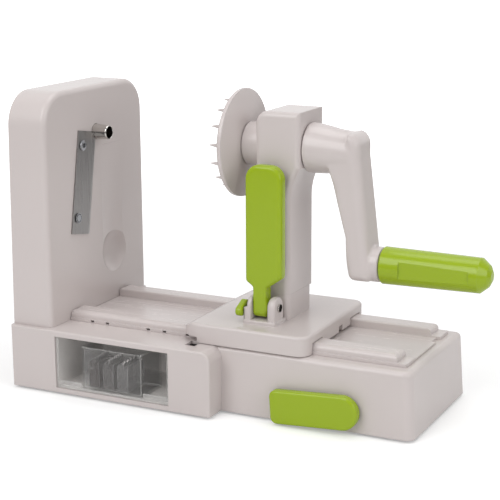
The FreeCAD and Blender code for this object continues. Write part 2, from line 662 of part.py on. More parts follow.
def rail_deck():
    """Deck with two hollow rails, the channel between them and low side walls."""
    body = new_body("rail_deck")
    outer = "rail_outer_round"
    inner = "rail_round"
    right_half = [
        ("half_deck", "base_top"),
        ("half_deck", "ledge_top"),
        ("rail_outer", "ledge_top"),
        ("rail_outer", "rail_top - " + outer, outer),
        ("rail_outer - " + outer, "rail_top"),
        ("rail_inner + " + inner, "rail_top", inner),
        ("rail_inner", "rail_top - " + inner),
        ("rail_inner", "channel_floor"),
    ]
    left_half = [
        ("-rail_inner", "channel_floor"),
        ("-rail_inner", "rail_top - " + inner, inner),
        ("-rail_inner - " + inner, "rail_top"),
        ("-rail_outer + " + outer, "rail_top", outer),
        ("-rail_outer", "rail_top - " + outer),
        ("-rail_outer", "ledge_top"),
        ("-half_deck", "ledge_top"),
        ("-half_deck", "base_top"),
    ]
    under_half = [
        ("rail_inner + deck_wall", "channel_floor - deck_wall"),
        ("rail_inner + deck_wall", "rail_top - deck_wall"),
        ("rail_outer - deck_wall", "rail_top - deck_wall"),
        ("rail_outer - deck_wall", "base_top"),
    ]
    mirrored_under = [("-(%s)" % y, z) for y, z in reversed(under_half)]
    prism(body, "YZ", "deck_left", "deck_end",
          right_half + left_half + mirrored_under + under_half)
    for span in (("deck_left - 1", "deck_left + 5.2"), ("rail_end - 3.2", "deck_end + 1")):
        block(body, span, ("-(rail_inner + deck_wall)", "rail_inner + deck_wall"),
              ("channel_floor - deck_wall - 1", "base_top"), "Pocket")
    for side in (-1, 1):
        near = "%d * (rail_inner + deck_wall / 2)" % side
        far = "%d * (rail_outer - deck_wall / 2)" % side
        low, high = (far, near) if side < 0 else (near, far)
        edge = ("%d * (rail_outer + 1)" % side, "%d * (rail_inner - 1)" % side)
        cut = edge if side < 0 else (edge[1], edge[0])
        block(body, ("rail_end", "deck_end + 1"), cut, ("ledge_top", "rail_top + 1"), "Pocket")
        # closed rail ends
        under_top = "rail_top - deck_wall / 2"
        block(body, ("deck_left", "deck_left + deck_wall"), (low, high), ("base_top", under_top))
        block(body, ("rail_end - deck_wall", "rail_end"), (low, high), ("base_top", under_top))
        block(body, ("rail_end - deck_wall", "deck_end"), (low, high), ("base_top", "ledge_top"))
    # rounded rail ends
    end = "rail_end_round"
    prism(body, "XZ", "-half_deck", "half_deck", [
        ("rail_end - " + end, "rail_top", "-" + end),
        ("rail_end", "rail_top - " + end),
        ("rail_end + 1", "rail_top - " + end),
        ("rail_end + 1", "rail_top + 1"),
        ("rail_end - " + end, "rail_top + 1")], "Pocket")
    start = "rail_start_round"
    prism(body, "XZ", "-half_deck", "half_deck", [
        ("deck_left", "rail_top - " + start, "-" + start),
        ("deck_left + " + start, "rail_top"),
        ("deck_left + " + start, "rail_top + 1"),
        ("deck_left - 1", "rail_top + 1"),
        ("deck_left - 1", "rail_top - " + start)], "Pocket")
    # notch beside the back rail and small holes in the side walls
    block(body, ("rail_end + 4", "deck_end + 1"), ("rail_inner - end_notch", "rail_inner"),
          ("channel_floor - deck_wall - 1", "ledge_top + 1"), "Pocket")
    for side in (-1, 1):
        edge = ("%d * (half_deck + 1)" % side, "%d * (rail_outer - deck_wall - 1)" % side)
        low, high = edge if side < 0 else (edge[1], edge[0])
        hole = new_sketch(body, "XZ", high)
        for distance in SIDE_HOLES:
            middle = "tower_face + " + distance
            height = "base_top + ledge_rise / 2"
            rectangle(hole, middle + " - side_hole_length / 2", middle + " + side_hole_length / 2",
                      height + " - side_hole_height / 2", height + " + side_hole_height / 2")
        extrude(body, hole, "Pocket", "(%s) - (%s)" % (high, low))
    return body


# ---------------------------------------------------------------------------
# Suction mount
# ---------------------------------------------------------------------------

def suction_cup():
    body = new_body("suction_cup", x="cup_middle")
    turned(body, "XZ", [
        ("0", "cup_rise - cup_wall"),
        ("cup_radius / 3", "cup_rise - cup_wall"),
        ("cup_radius - 2", "0.3"),
        ("cup_radius", "0.3"),
        ("cup_radius", "1.2"),
        ("cup_radius / 3", "cup_rise"),
        ("0", "cup_rise")], "V_Axis")
    return body


def suction_stem():
    """Puller of the cup with a window that rides on the cam."""
    body = new_body("suction_stem", x="cup_middle")
    reach = "(cam_throw + cam_radius + cam_play)"
    block(body, ("-%s - 3" % reach, "%s + 3" % reach), ("-6", "6"), ("cup_rise", "stem_top"))
    cut = "cam_radius + cam_play"
    block(body, ("-%s" % reach, reach), ("-7", "7"),
          ("axle_height + cam_throw - (%s)" % cut, "axle_height + cam_throw + %s" % cut), "Pocket")
    return body


def suction_axle():
    """Axle with an eccentric cam; the throw points up at rest."""
    body = new_body("suction_axle", x="cup_middle", z="axle_height")
    rod(body, "Y", "suction_face - 1", "half_base_top - base_wall - 12", [("0", "0")],
        "axle_radius")
    rod(body, "Y", "-5", "5", [("0", "cam_throw")], "cam_radius")
    return body


def suction_lever():
    """Flat finger lever with a round pivot end; its hub reaches to the base wall."""
    body = new_body("suction_lever", x="cup_middle", z="axle_height")
    turn_body(body, (0, 1, 0), "-suction_tilt")
    half = "suction_lever_height / 2"
    far = "suction_lever_length - " + half
    front = "suction_face - suction_lever_thick"
    prism(body, "XZ", front, "suction_face", [
        ("-(%s)" % far, "-(%s)" % half),
        ("0", "-(%s)" % half, half),
        (half, "0", half),
        ("0", half),
        ("-(%s)" % far, half)])
    rod(body, "Y", "suction_face - 1", "-half_base - 0.3", [("0", "0")], "axle_radius + 4")
    ease(body, "suction_lever_corner", lambda e: edge_along(e, "Y") and edge_middle(e, "X") < -20)
    ease(body, "2", lambda e: edge_on(e, "Y", front))
    rod(body, "Y", "suction_face - 1.2", "-half_base + 5", [("0", "0")], "axle_radius", "Pocket")
    return body


def axle_block():
    """Bearing posts on the base plate that carry the axle on both sides of the stem."""
    body = new_body("axle_bearings")
    inner = "half_base_top - base_wall - 14"
    block(body, ("cup_middle - 7", "cup_middle + 7"), (inner, "half_base_top - base_wall - 0.2"),
          ("plate_top", "axle_height + axle_radius + 4"))
    rod(body, "Y", "(%s) - 1" % inner, "half_base_top", [("cup_middle", "axle_height")],
        "axle_radius + running_fit", "Pocket")
    return body


# ---------------------------------------------------------------------------
# Storage drawer
# ---------------------------------------------------------------------------

def drawer_sleeve():
    """Sleeve behind the window that the drawer slides in."""
    body = new_body("drawer_sleeve")
    wall = "sleeve_wall"
    block(body, ("window_left - " + wall, "window_right + " + wall),
          ("sleeve_front", "sleeve_back"), ("window_low - " + wall, "window_high + " + wall))
    block(body, ("window_left", "window_right"), ("sleeve_front - 1", "sleeve_back - " + wall),
          ("window_low", "window_high"), "Pocket")
    return body


def blade_drawer():
    """Clear drawer: a tray with high ends and a box seat in the middle of its front."""
    body = new_body("blade_drawer")
    wall = "drawer_wall"
    back = "drawer_front + drawer_depth"
    block(body, ("drawer_left", "drawer_right"), ("drawer_front", back),
          ("drawer_low", "drawer_high"))
    block(body, ("drawer_left + " + wall, "box_left - " + wall),
          ("drawer_front - 1", "%s - %s" % (back, wall)),
          ("drawer_low + " + wall, "drawer_high + 1"), "Pocket")
    block(body, ("box_left + box_length + " + wall, "drawer_right - " + wall),
          ("drawer_front - 1", "%s - %s" % (back, wall)),
          ("drawer_low + " + wall, "drawer_high + 1"), "Pocket")
    block(body, ("box_left - %s - 1" % wall, "box_left + box_length + %s + 1" % wall),
          ("drawer_front - 1", "%s - %s" % (back, wall)),
          ("drawer_low + " + wall, "drawer_high + 1"), "Pocket")
    lip = "drawer_low + %s + 4" % wall
    block(body, ("drawer_left + " + wall, "box_left - 1"),
          ("drawer_front", "drawer_front + " + wall), ("drawer_low", lip))
    block(body, ("box_left + box_length + 1", "drawer_right - " + wall),
          ("drawer_front", "drawer_front + " + wall), ("drawer_low", lip))
    return body


def insert_box():
    """Clear box in the drawer that holds the spare blades."""
    body = new_body("insert_box")
    wall = "box_wall"
    front = "drawer_front + 0.4"
    block(body, ("box_left", "box_left + box_length"), (front, front + " + box_depth"),
          ("box_low", "box_low + box_height"))
    block(body, ("box_left + " + wall, "box_left + box_length - " + wall),
          (front + " + " + wall, "%s + box_depth - %s" % (front, wall)),
          ("box_low + " + wall, "box_low + box_height + 1"), "Pocket")
    ease(body, "1", lambda e: edge_along(e, "Z") and (
        edge_on(e, "Y", front) or edge_on(e, "Y", front + " + box_depth")))
    return body


def spare_blade(label, position, teeth):
    """Dark holder and, apart from it, the steel plate with a row of teeth."""
    middle = "box_left + box_wall + 7 + insert_pitch * %d" % position
    front = "drawer_front + 0.4 + box_wall + 2"
    holder = new_body("insert_frame_" + label)
    block(holder, ("%s - insert_length / 2" % middle, "%s + insert_length / 2" % middle),
          (front, front + " + insert_depth"), ("insert_low", "insert_low + insert_height"))
    ease(holder, "2.5", lambda e: edge_along(e, "X")
         and edge_on(e, "Z", "insert_low + insert_height"))
    block(holder, ("%s - insert_plate_thick / 2" % middle, "%s + insert_plate_thick / 2" % middle),
          (front + " + 2", front + " + insert_depth - 2"),
          ("insert_low + insert_height - 4", "insert_low + insert_height + 1"), "Pocket")
    plate = new_body("insert_teeth_" + label)
    root = "insert_low + insert_height - 4"
    rise = "insert_low + insert_height + 0.6"
    start = front + " + 2"
    pitch = "(insert_depth - 4) / %d" % teeth
    points = [(start, root), ("%s + insert_depth - 4" % start, root)]
    points.append(("%s + insert_depth - 4" % start, rise))
    for n in reversed(range(teeth)):
        points.append(("%s + %s * (%d + 0.65)" % (start, pitch, n), rise + " + insert_tooth_rise - 0.6"))
        points.append(("%s + %s * (%d + 0.35)" % (start, pitch, n), rise + " + insert_tooth_rise - 0.6"))
        points.append(("%s + %s * %d" % (start, pitch, n), rise))
    prism(plate, "YZ", "%s - insert_plate_thick / 2" % middle,
          "%s + insert_plate_thick / 2" % middle, points)
    return holder, plate


# ---------------------------------------------------------------------------
# Tower with blade and coring tube
# ---------------------------------------------------------------------------

def leaned_sketch(body, distance):
    """Sketch square to the blade's edge, at a distance below the crank axis."""
    sketch = body.newObject("Sketcher::SketchObject", "leaned")
    sketch.AttachmentSupport = [(origin_item(body, "XY_Plane"), "")]
    sketch.MapMode = "FlatFace"
    turn = FreeCAD.Rotation(FreeCAD.Vector(1, 0, 0), -number("blade_lean"))
    sketch.AttachmentOffset = FreeCAD.Placement(FreeCAD.Vector(0, 0, 0), turn)
    sketch.setExpression("AttachmentOffset.Rotation.Angle", expand("-blade_lean"))
    sketch.setExpression("AttachmentOffset.Base.y", expand("-(%s) * sin(blade_lean)" % distance))
    sketch.setExpression("AttachmentOffset.Base.z",
                         expand("axis_height - (%s) * cos(blade_lean)" % distance))
    return sketch


def blade_spot(below):
    """Place on the blade, measured down from the crank axis along the edge."""
    inset = "(blade_offset + blade_width - blade_screw_inset)"
    y = "-(%s) * sin(blade_lean) - %s * cos(blade_lean)" % (below, inset)
    z = "axis_height - (%s) * cos(blade_lean) + %s * sin(blade_lean)" % (below, inset)
    return y, z


BLADE_SPOTS = [blade_spot("blade_screw_high"), blade_spot("blade_screw_low")]


def tower_shell():
    body = new_body("tower_shell")
    prism(body, "XZ", "-half_tower", "half_tower", [
        ("base_left", "base_top"),
        ("tower_face", "base_top"),
        ("tower_face", "tower_top"),
        ("base_left + tower_lean", "tower_top")])
    ease(body, "tower_corner", lambda e: edge_along(e, "X") and edge_on(e, "Z", "tower_top"))
    ease(body, "tower_round", lambda e: edge_on(e, "X", "tower_face")
         and not edge_on(e, "Z", "base_top"))
    # hollow, open to the rear
    inner = "half_tower - tower_wall"
    radius = "tower_corner - tower_wall"
    prism(body, "YZ", "base_left - 1", "tower_face - face_wall", [
        ("-(%s)" % inner, "tower_floor"),
        (inner, "tower_floor"),
        (inner, "tower_top - tower_corner", radius),
        ("%s - (%s)" % (inner, radius), "tower_top - tower_wall"),
        ("-(%s) + %s" % (inner, radius), "tower_top - tower_wall", radius),
        ("-(%s)" % inner, "tower_top - tower_corner")], "Pocket")
    # backing of the scoop and guides for the exchangeable blades
    rod(body, "X", "tower_face - face_wall - scoop_depth", "tower_face - face_wall + 0.5",
        [("scoop_middle", "scoop_height")], "scoop_radius + 3")
    for side in ("-52", "50"):
        block(body, ("tower_face - face_wall - guide_depth", "tower_face - face_wall + 0.5"),
              (side, side + " + 3"), ("tower_floor - 0.5", "tower_top - 40"))
    # trough that deepens towards its foot
    sections = []
    for height, depth in (("trough_foot", "trough_depth"), ("trough_head", "trough_fade")):
        sketch = new_sketch(body, "XY", height)
        radius = "((trough_width / 2) ^ 2 + (%s) ^ 2) / (2 * (%s))" % (depth, depth)
        outline(sketch, [
            ("tower_face", "trough_middle - trough_width / 2"),
            ("tower_face + 1", "trough_middle - trough_width / 2"),
            ("tower_face + 1", "trough_middle + trough_width / 2"),
            ("tower_face", "trough_middle + trough_width / 2", radius)])
        sections.append(sketch)
    lofted(body, sections, "SubtractiveLoft")
    # scoop: part of a ball pressed into the face
    ball = "(scoop_radius ^ 2 + scoop_depth ^ 2) / (2 * scoop_depth)"
    scoop = new_sketch(body, "XZ", "scoop_middle", ("tower_face", "scoop_height"))
    outline(scoop, [
        ("-scoop_depth", "0"),
        ("1", "0"),
        ("1", "scoop_radius"),
        ("0", "scoop_radius", ball)])
    groove = body.newObject("PartDesign::Groove", "scoop")
    groove.Profile = scoop
    groove.ReferenceAxis = (scoop, ["H_Axis"])
    groove.Angle = 360
    REMOVALS.append(groove)
    # slicing slot behind the blade and seat of the coring tube
    slot = leaned_sketch(body, "blade_start + blade_length - 1.5")
    rectangle(slot, "tower_face - face_wall - 2", "tower_face + 1",
              "-blade_offset - slot_width", "-blade_offset + slot_mouth")
    extrude(body, slot, "Pocket", "blade_start + blade_length - corer_root - 4")
    rod(body, "X", "tower_face - face_wall - 1", "tower_face + 1", [("0", "axis_height")],
        "corer_root + seat_gap", "Pocket")
    # ramp that carries the blade
    ramp = leaned_sketch(body, "blade_start + blade_length - 0.5")
    back = "-blade_offset - blade_width"
    outline(ramp, [
        ("tower_face - 0.5", back + " + 0.3"),
        ("tower_face", back + " + 0.3"),
        ("tower_face + blade_lift * (1 - slot_width / blade_width)", "-blade_offset - slot_width"),
        ("tower_face - 0.5", "-blade_offset - slot_width")])
    extrude(body, ramp, "Pad", "blade_length - 1")
    rod(body, "X", "tower_face - face_wall - 1", "tower_face + 2", BLADE_SPOTS,
        "blade_screw_shank + 0.02", "Pocket")
    rod(body, "Z", "base_top - 1", "tower_floor + 1", TOWER_SCREWS, "screw_radius", "Pocket")
    return body


TOWER_SCREWS = [
    ("base_left + tower_thick / 2", "-(half_tower - 12)"),
    ("base_left + tower_thick / 2", "-(half_tower - 50)"),
    ("base_left + tower_thick / 2", "half_tower - 50"),
    ("base_left + tower_thick / 2", "half_tower - 12"),
]


def straight_blade():
    """Steel plate on the ramp; its ground edge is radial to the crank axis."""
    body = new_body("straight_blade")
    lift = "blade_lift / blade_width"
    flat = "blade_width - bevel_width"
    sketch = leaned_sketch(body, "blade_start + blade_length")
    outline(sketch, [
        ("tower_face + 0.02", "-blade_offset - blade_width"),
        ("tower_face + 0.02 + blade_lift", "-blade_offset"),
        ("tower_face + 0.12 + blade_lift", "-blade_offset"),
        ("tower_face + 0.02 + blade_thick + %s * (%s)" % (lift, flat),
         "-blade_offset - bevel_width"),
        ("tower_face + 0.02 + blade_thick", "-blade_offset - blade_width")])
    extrude(body, sketch, "Pad", "blade_length")
    rod(body, "X", "tower_face - 1", "tower_face + 5", [("0", "axis_height")],
        "corer_root + 0.2", "Pocket")
    rod(body, "X", "tower_face - 1", "tower_face + 5", BLADE_SPOTS,
        "blade_screw_shank + 0.1", "Pocket")
    return body


def blade_screws():
    """Two screws through the blade into the face, their heads flat on the blade."""
    body = new_body("blade_screws")
    seat = "tower_face + blade_thick + blade_lift * (blade_screw_inset + 4.2) / blade_width + 0.05"
    rod(body, "X", "tower_face - face_wall + 0.2", seat + " + 0.5", BLADE_SPOTS,
        "blade_screw_shank")
    rod(body, "X", seat, seat + " + 1.5", BLADE_SPOTS, "blade_screw_radius")
    ease(body, "0.8", lambda e: edge_on(e, "X", seat + " + 1.5"))
    return body


def corer_tube():
    body = new_body("corer_tube", x="tower_face", z="axis_height")
    turned(body, "XZ", [
        ("-face_wall - 1.5", "corer_root - corer_wall"),
        ("0", "corer_root - corer_wall"),
        ("corer_reach", "corer_radius - corer_wall"),
        ("corer_reach", "corer_radius - 0.2"),
        ("corer_reach - 0.5", "corer_radius"),
        ("0", "corer_root"),
        ("-face_wall - 0.1", "corer_root"),
        ("-face_wall - 0.1", "corer_flange"),
        ("-face_wall - 1.5", "corer_flange")], "H_Axis")
    return body


# ---------------------------------------------------------------------------
# Carriage
# ---------------------------------------------------------------------------

def carriage_body():
    body = new_body("carriage_body")
    left = "-carriage_left"
    prism(body, "XZ", "-half_carriage", "half_carriage", [
        (left, "carriage_low"),
        ("carriage_right", "carriage_low"),
        ("carriage_right", "carriage_top"),
        (left + " + carriage_slope", "carriage_top"),
        (left, "carriage_over_rail")])
    ease(body, "carriage_nose", lambda e: edge_along(e, "Z") and edge_on(e, "X", left))
    ease(body, "carriage_corner",
         lambda e: edge_along(e, "Z") and edge_on(e, "X", "carriage_right"))
    ease(body, "carriage_round", lambda e: edge_on(e, "Z", "carriage_top")
         and edge_middle(e, "X") > number(left + " + carriage_slope + 0.5"))
    # socket that the column stands in
    sketch = rectangle(new_sketch(body, "XY", "carriage_top - 1"), "column_left", "column_right",
                       "-half_column", "half_column")
    extrude(body, sketch, "Pad", "column_foot - carriage_top + 1")
    ease(body, "column_round", lambda e: edge_along(e, "Z")
         and edge_middle(e, "Z") > number("carriage_top + 3"))
    # ears of the push lever and their foot
    ear_points = [
        ("-lever_front - ear_radius", "carriage_top - 1"),
        ("-lever_front + ear_radius", "carriage_top - 1"),
        ("-lever_front + ear_radius", "pin_height", "ear_radius"),
        ("-lever_front", "pin_height + ear_radius", "ear_radius"),
        ("-lever_front - ear_radius", "pin_height")]
    for start in ("ear_left", "ear_right"):
        prism(body, "YZ", start, start + " + ear_thick", ear_points)
    # underside: grooves over the rails and a hollow between them
    for side in (-1, 1):
        inner = "%d * (rail_inner - slide_gap)" % side
        outer = "%d * (rail_outer + slide_gap)" % side
        low, high = (outer, inner) if side < 0 else (inner, outer)
        block(body, (left + " - 1", "carriage_right + 1"), (low, high),
              ("carriage_low - 1", "carriage_over_rail"), "Pocket")
        inner = "%d * (rail_outer + slide_gap + 1.5)" % side
        outer = "%d * (half_carriage - 3)" % side
        low, high = (outer, inner) if side < 0 else (inner, outer)
        block(body, ("-skirt_start + 3", "carriage_right - carriage_corner"), (low, high),
              ("carriage_low - 1", "carriage_top - carriage_roof - 1"), "Pocket")
    beside = "half_deck + slide_gap"
    block(body, (left + " - 1", "carriage_right + 1"), ("-(%s)" % beside, beside),
          ("carriage_low - 1", "tongue_low"), "Pocket")
    block(body, (left + " - 1", "-skirt_start"), ("-half_carriage - 1", "half_carriage + 1"),
          ("carriage_low - 1", "nose_low"), "Pocket")
    block(body, (left + " + carriage_slope + 8", "carriage_right - 6"),
          ("-(rail_inner - shoe_width - 2)", "rail_inner - shoe_width - 2"),
          ("carriage_low - 1", "carriage_top - carriage_roof"), "Pocket")
    block(body, ("carriage_right - 3", "carriage_right + 1"), ("4", "11"),
          ("tongue_low - 1", "carriage_over_rail - 0.8"), "Pocket")
    # pin bore, spigot hole, slot for the pawl
    rod(body, "X", "ear_left - 1", "ear_right + ear_thick + 1", [("-lever_front", "pin_height")],
        "pin_radius + running_fit", "Pocket")
    block(body, ("column_left + 5", "column_right - 5"), ("-(half_column - 5)", "half_column - 5"),
          ("carriage_top - 4", "column_foot + 1"), "Pocket")
    toe = "(pawl_reach + pawl_toe + slide_gap)"
    slot_right = "ear_left - slide_gap / 2 + 0.3"
    block(body, ("%s - pawl_thick - 1.4" % slot_right, slot_right),
          ("-lever_front - %s * 0.9" % toe, "-lever_front + %s * 0.9" % toe),
          ("pin_height - %s" % toe, "carriage_top + 1"), "Pocket")
    return body


def carriage_shoes():
    """Guide shoes under the carriage that run along the inner sides of the rails."""
    body = new_body("carriage_shoes")
    for side in (-1, 1):
        outer = "%d * (rail_inner - slide_gap)" % side
        inner = "%d * (rail_inner - slide_gap - shoe_width)" % side
        low, high = (outer, inner) if side < 0 else (inner, outer)
        for start in ("-skirt_start + 3", "carriage_right - 4 - shoe_length"):
            block(body, (start, start + " + shoe_length"), (low, high),
                  ("channel_floor + slide_gap", "tongue_low"))
    return body


# ---------------------------------------------------------------------------
# Column
# ---------------------------------------------------------------------------

def column_body():
    """Column with its bearing head, hollow and open at the back."""
    body = new_body("column_body")
    prism(body, "XZ", "-half_column", "half_column", [
        ("column_left", "column_foot"),
        ("column_right", "column_foot"),
        ("column_right", "neck_drop", "-45"),
        ("head_right", "head_drop + 4"),
        ("head_right", "head_top"),
        ("column_left", "head_top")])
    ease(body, "head_crown", lambda e: edge_along(e, "Y") and edge_on(e, "Z", "head_top")
         and edge_on(e, "X", "column_left"))
    ease(body, "column_round", lambda e: edge_on(e, "Y", "-half_column")
         and not edge_on(e, "Z", "column_foot"))
    rod(body, "X", "column_left - collar_length", "column_left + 1", [("0", "axis_height")],
        "collar_radius")
    # hollow
    wall = "column_wall"
    prism(body, "XZ", "-half_column + " + wall, "half_column + 1", [
        ("column_left + " + wall, "column_foot + " + wall),
        ("column_right - " + wall, "column_foot + " + wall),
        ("column_right - " + wall, "axis_height - bush_radius - 4"),
        ("column_left + " + wall, "axis_height - bush_radius - 4")], "Pocket")
    # spigot into the carriage socket
    gap = "5 + seat_gap"
    sketch = rectangle(new_sketch(body, "XY", "carriage_top - 4"),
                       "column_left + " + gap, "column_right - (%s)" % gap,
                       "-(half_column - (%s))" % gap, "half_column - (%s)" % gap)
    extrude(body, sketch, "Pad", "column_foot - carriage_top + 4.5")
    # bearing bores
    rod(body, "X", "column_left - collar_length - 1", "head_right + 1", [("0", "axis_height")],
        "shaft_radius + 1", "Pocket")
    rod(body, "X", "head_right - bush_length", "head_right + 1", [("0", "axis_height")],
        "bush_radius", "Pocket")
    rod(body, "X", "column_left - collar_length - 1", "column_left - collar_length + bush_length",
        [("0", "axis_height")], "bush_radius", "Pocket")
    return body


def column_cover():
    """Back cover that closes the hollow of the column."""
    body = new_body("column_cover")
    inner = "column_wall + seat_gap"
    block(body, ("column_left + " + inner, "column_right - (%s)" % inner),
          ("half_column - cover_thick", "half_column"),
          ("column_foot + " + inner, "axis_height - bush_radius - 4 - seat_gap"))
    rod(body, "Y", "half_column - cover_thick - 1", "half_column + 1", COVER_SCREWS,
        "screw_radius", "Pocket")
    return body


COVER_SCREWS = [
    ("column_left + column_thick / 2", "column_foot + 12"),
    ("column_left + column_thick / 2", "axis_height - bush_radius - 16"),
]


def shaft_bushes():
    """Two flanged plain bearings in the head."""
    body = new_body("shaft_bushes", z="axis_height")
    bore = "bush_bore"
    left = "column_left - collar_length"
    turned(body, "XZ", [
        (left, bore), (left + " + bush_length", bore), (left + " + bush_length", "bush_radius"),
        (left, "bush_radius")], "H_Axis")
    right = "head_right - bush_length"
    turned(body, "XZ", [
        (right, bore), ("head_right", bore), ("head_right", "bush_radius"),
        (right, "bush_radius")], "H_Axis")
    return body


# ---------------------------------------------------------------------------
# Push lever
# ---------------------------------------------------------------------------

def push_lever():
    """Upright lever; its neck turns between the ears."""
    body = new_body("push_lever", x="lever_middle", y="-lever_front", z="pin_height")
    half = "lever_width / 2"
    top = "lever_height - pin_height"
    left = "shoulder_left - pin_height"
    right = "shoulder_right - pin_height"
    neck = "neck_top - pin_height"
    prism(body, "XZ", "-lever_thick / 2", "lever_thick / 2", [
        ("-neck_left", "-neck_drop_end"),
        ("neck_right", "-neck_drop_end"),
        ("neck_right", neck),
        (half, right),
        (half, "%s - lever_crown" % top, "lever_crown"),
        ("%s - lever_crown" % half, top),
        ("-(%s) + lever_crown" % half, top, "lever_crown"),
        ("-(%s)" % half, "%s - lever_crown" % top),
        ("-(%s)" % half, left),
        ("-neck_left", neck)])
    for face in ("-lever_thick / 2", "lever_thick / 2"):
        ease(body, "lever_edge", lambda e: edge_on(e, "Y", face)
             and edge_middle(e, "Z") > number(neck) + 0.5)
    ease(body, "lever_thick / 2 - 0.5", lambda e: edge_along(e, "X")
         and edge_on(e, "Z", "-neck_drop_end"))
    # hollow behind, as such levers are moulded
    rim = "(lever_edge + 0.6)"
    inner = "%s - %s" % (half, rim)
    prism(body, "XZ", "-lever_thick / 2 + 3", "lever_thick / 2 + 1", [
        ("-(%s)" % inner, right + " + 4"),
        (inner, right + " + 4"),
        (inner, "%s - lever_crown" % top, "lever_crown - " + rim),
        ("%s - (lever_crown - %s)" % (inner, rim), "%s - %s" % (top, rim)),
        ("-(%s) + lever_crown - %s" % (inner, rim), "%s - %s" % (top, rim), "lever_crown - " + rim),
        ("-(%s)" % inner, "%s - lever_crown" % top)], "Pocket")
    # hub towards the right ear and bore of the pin
    rod(body, "X", "neck_right - 1", "ear_offset - slide_gap", [("0", "0")], "lever_hub")
    rod(body, "X", "-neck_left - 1", "ear_offset + 1", [("0", "0")], "pin_radius + 0.02", "Pocket")
    return body


def lever_pin():
    body = new_body("lever_pin", y="-lever_front", z="pin_height")
    rod(body, "X", "ear_left - slide_gap - pawl_thick", "ear_right + ear_thick + 0.3",
        [("0", "0")], "pin_radius")
    rod(body, "X", "ear_right + ear_thick + 0.3", "ear_right + ear_thick + 0.3 + pin_head_thick",
        [("0", "0")], "pin_head_radius")
    return body


def lock_pawl():
    """Pawl on the left end of the hinge pin; it turns with the push lever."""
    body = new_body("lock_pawl", y="-lever_front", z="pin_height")
    low = "ear_left - slide_gap - pawl_thick"
    toe_y = "-pawl_reach * cos(pawl_angle)"
    toe_z = "-pawl_reach * sin(pawl_angle)"
    rod(body, "X", low, "ear_left - slide_gap", [("0", "0")], "pawl_hub")
    rod(body, "X", low, "ear_left - slide_gap", [(toe_y, toe_z)], "pawl_toe")
    across_y = "sin(pawl_angle)"
    across_z = "cos(pawl_angle)"
    prism(body, "YZ", low, "ear_left - slide_gap", [
        ("-2 * %s" % across_y, "2 * %s" % across_z),
        ("%s - 2.6 * %s" % (toe_y, across_y), "%s + 2.6 * %s" % (toe_z, across_z)),
        ("%s + 2.6 * %s" % (toe_y, across_y), "%s - 2.6 * %s" % (toe_z, across_z)),
        ("3 * %s" % across_y, "-3 * %s" % across_z)])
    rod(body, "X", "%s - 1" % low, "ear_left + 1", [("0", "0")], "pin_radius + 0.02", "Pocket")
    return body


# ---------------------------------------------------------------------------
# Shaft, disk, crank and grip
# ---------------------------------------------------------------------------

def crank_shaft():
    body = new_body("crank_shaft", z="axis_height")
    rod(body, "X", "disk_face + 4", "crank_face + 26", [("0", "0")], "shaft_radius")
    ease(body, "0.8", lambda e: edge_on(e, "X", "crank_face + 26"), "Chamfer")
    return body


def spiked_disk():
    """Food holder: dished disk with a hub and two rings of spikes."""
    body = new_body("spiked_disk", x="disk_face", z="axis_height")
    turn_body(body, (1, 0, 0), "disk_turn")
    hub_end = "column_left - collar_length - turn_gap - disk_face"
    turned(body, "XZ", [
        ("0", "core_recess"),
        ("0", "disk_radius - 1"),
        ("1", "disk_radius"),
        ("disk_rim", "disk_radius"),
        ("disk_rim + disk_dish", "hub_radius + 2"),
        (hub_end, "hub_radius"),
        (hub_end, "shaft_radius + 0.02"),
        ("4", "shaft_radius + 0.02"),
        ("4", "core_recess")], "H_Axis")
    for ring, count in (("spike_ring", "spike_count"), ("inner_spike_ring", "inner_spike_count")):
        spike = new_sketch(body, "XZ", "0", ("0", ring))
        outline(spike, [
            ("-spike_length", "0"),
            ("0.5", "0"),
            ("0.5", "spike_radius"),
            ("0", "spike_radius"),
            ("-spike_length", "0.25")])
        cone = body.newObject("PartDesign::Revolution", "spike")
        cone.Profile = spike
        cone.ReferenceAxis = (spike, ["H_Axis"])
        cone.Angle = 360
        pattern = body.newObject("PartDesign::PolarPattern", "spikes")
        pattern.Originals = [cone]
        pattern.Axis = (origin_item(body, "X_Axis"), [""])
        pattern.Angle = 360
        pattern.setExpression("Occurrences", expand(count))
        body.Tip = pattern
    return body


def disk_screw():
    """Screw in the recess of the disk that holds it on the shaft."""
    body = new_body("disk_screw", x="disk_face", z="axis_height")
    rod(body, "X", "2", "4", [("0", "0")], "core_recess - 1.5")
    return body


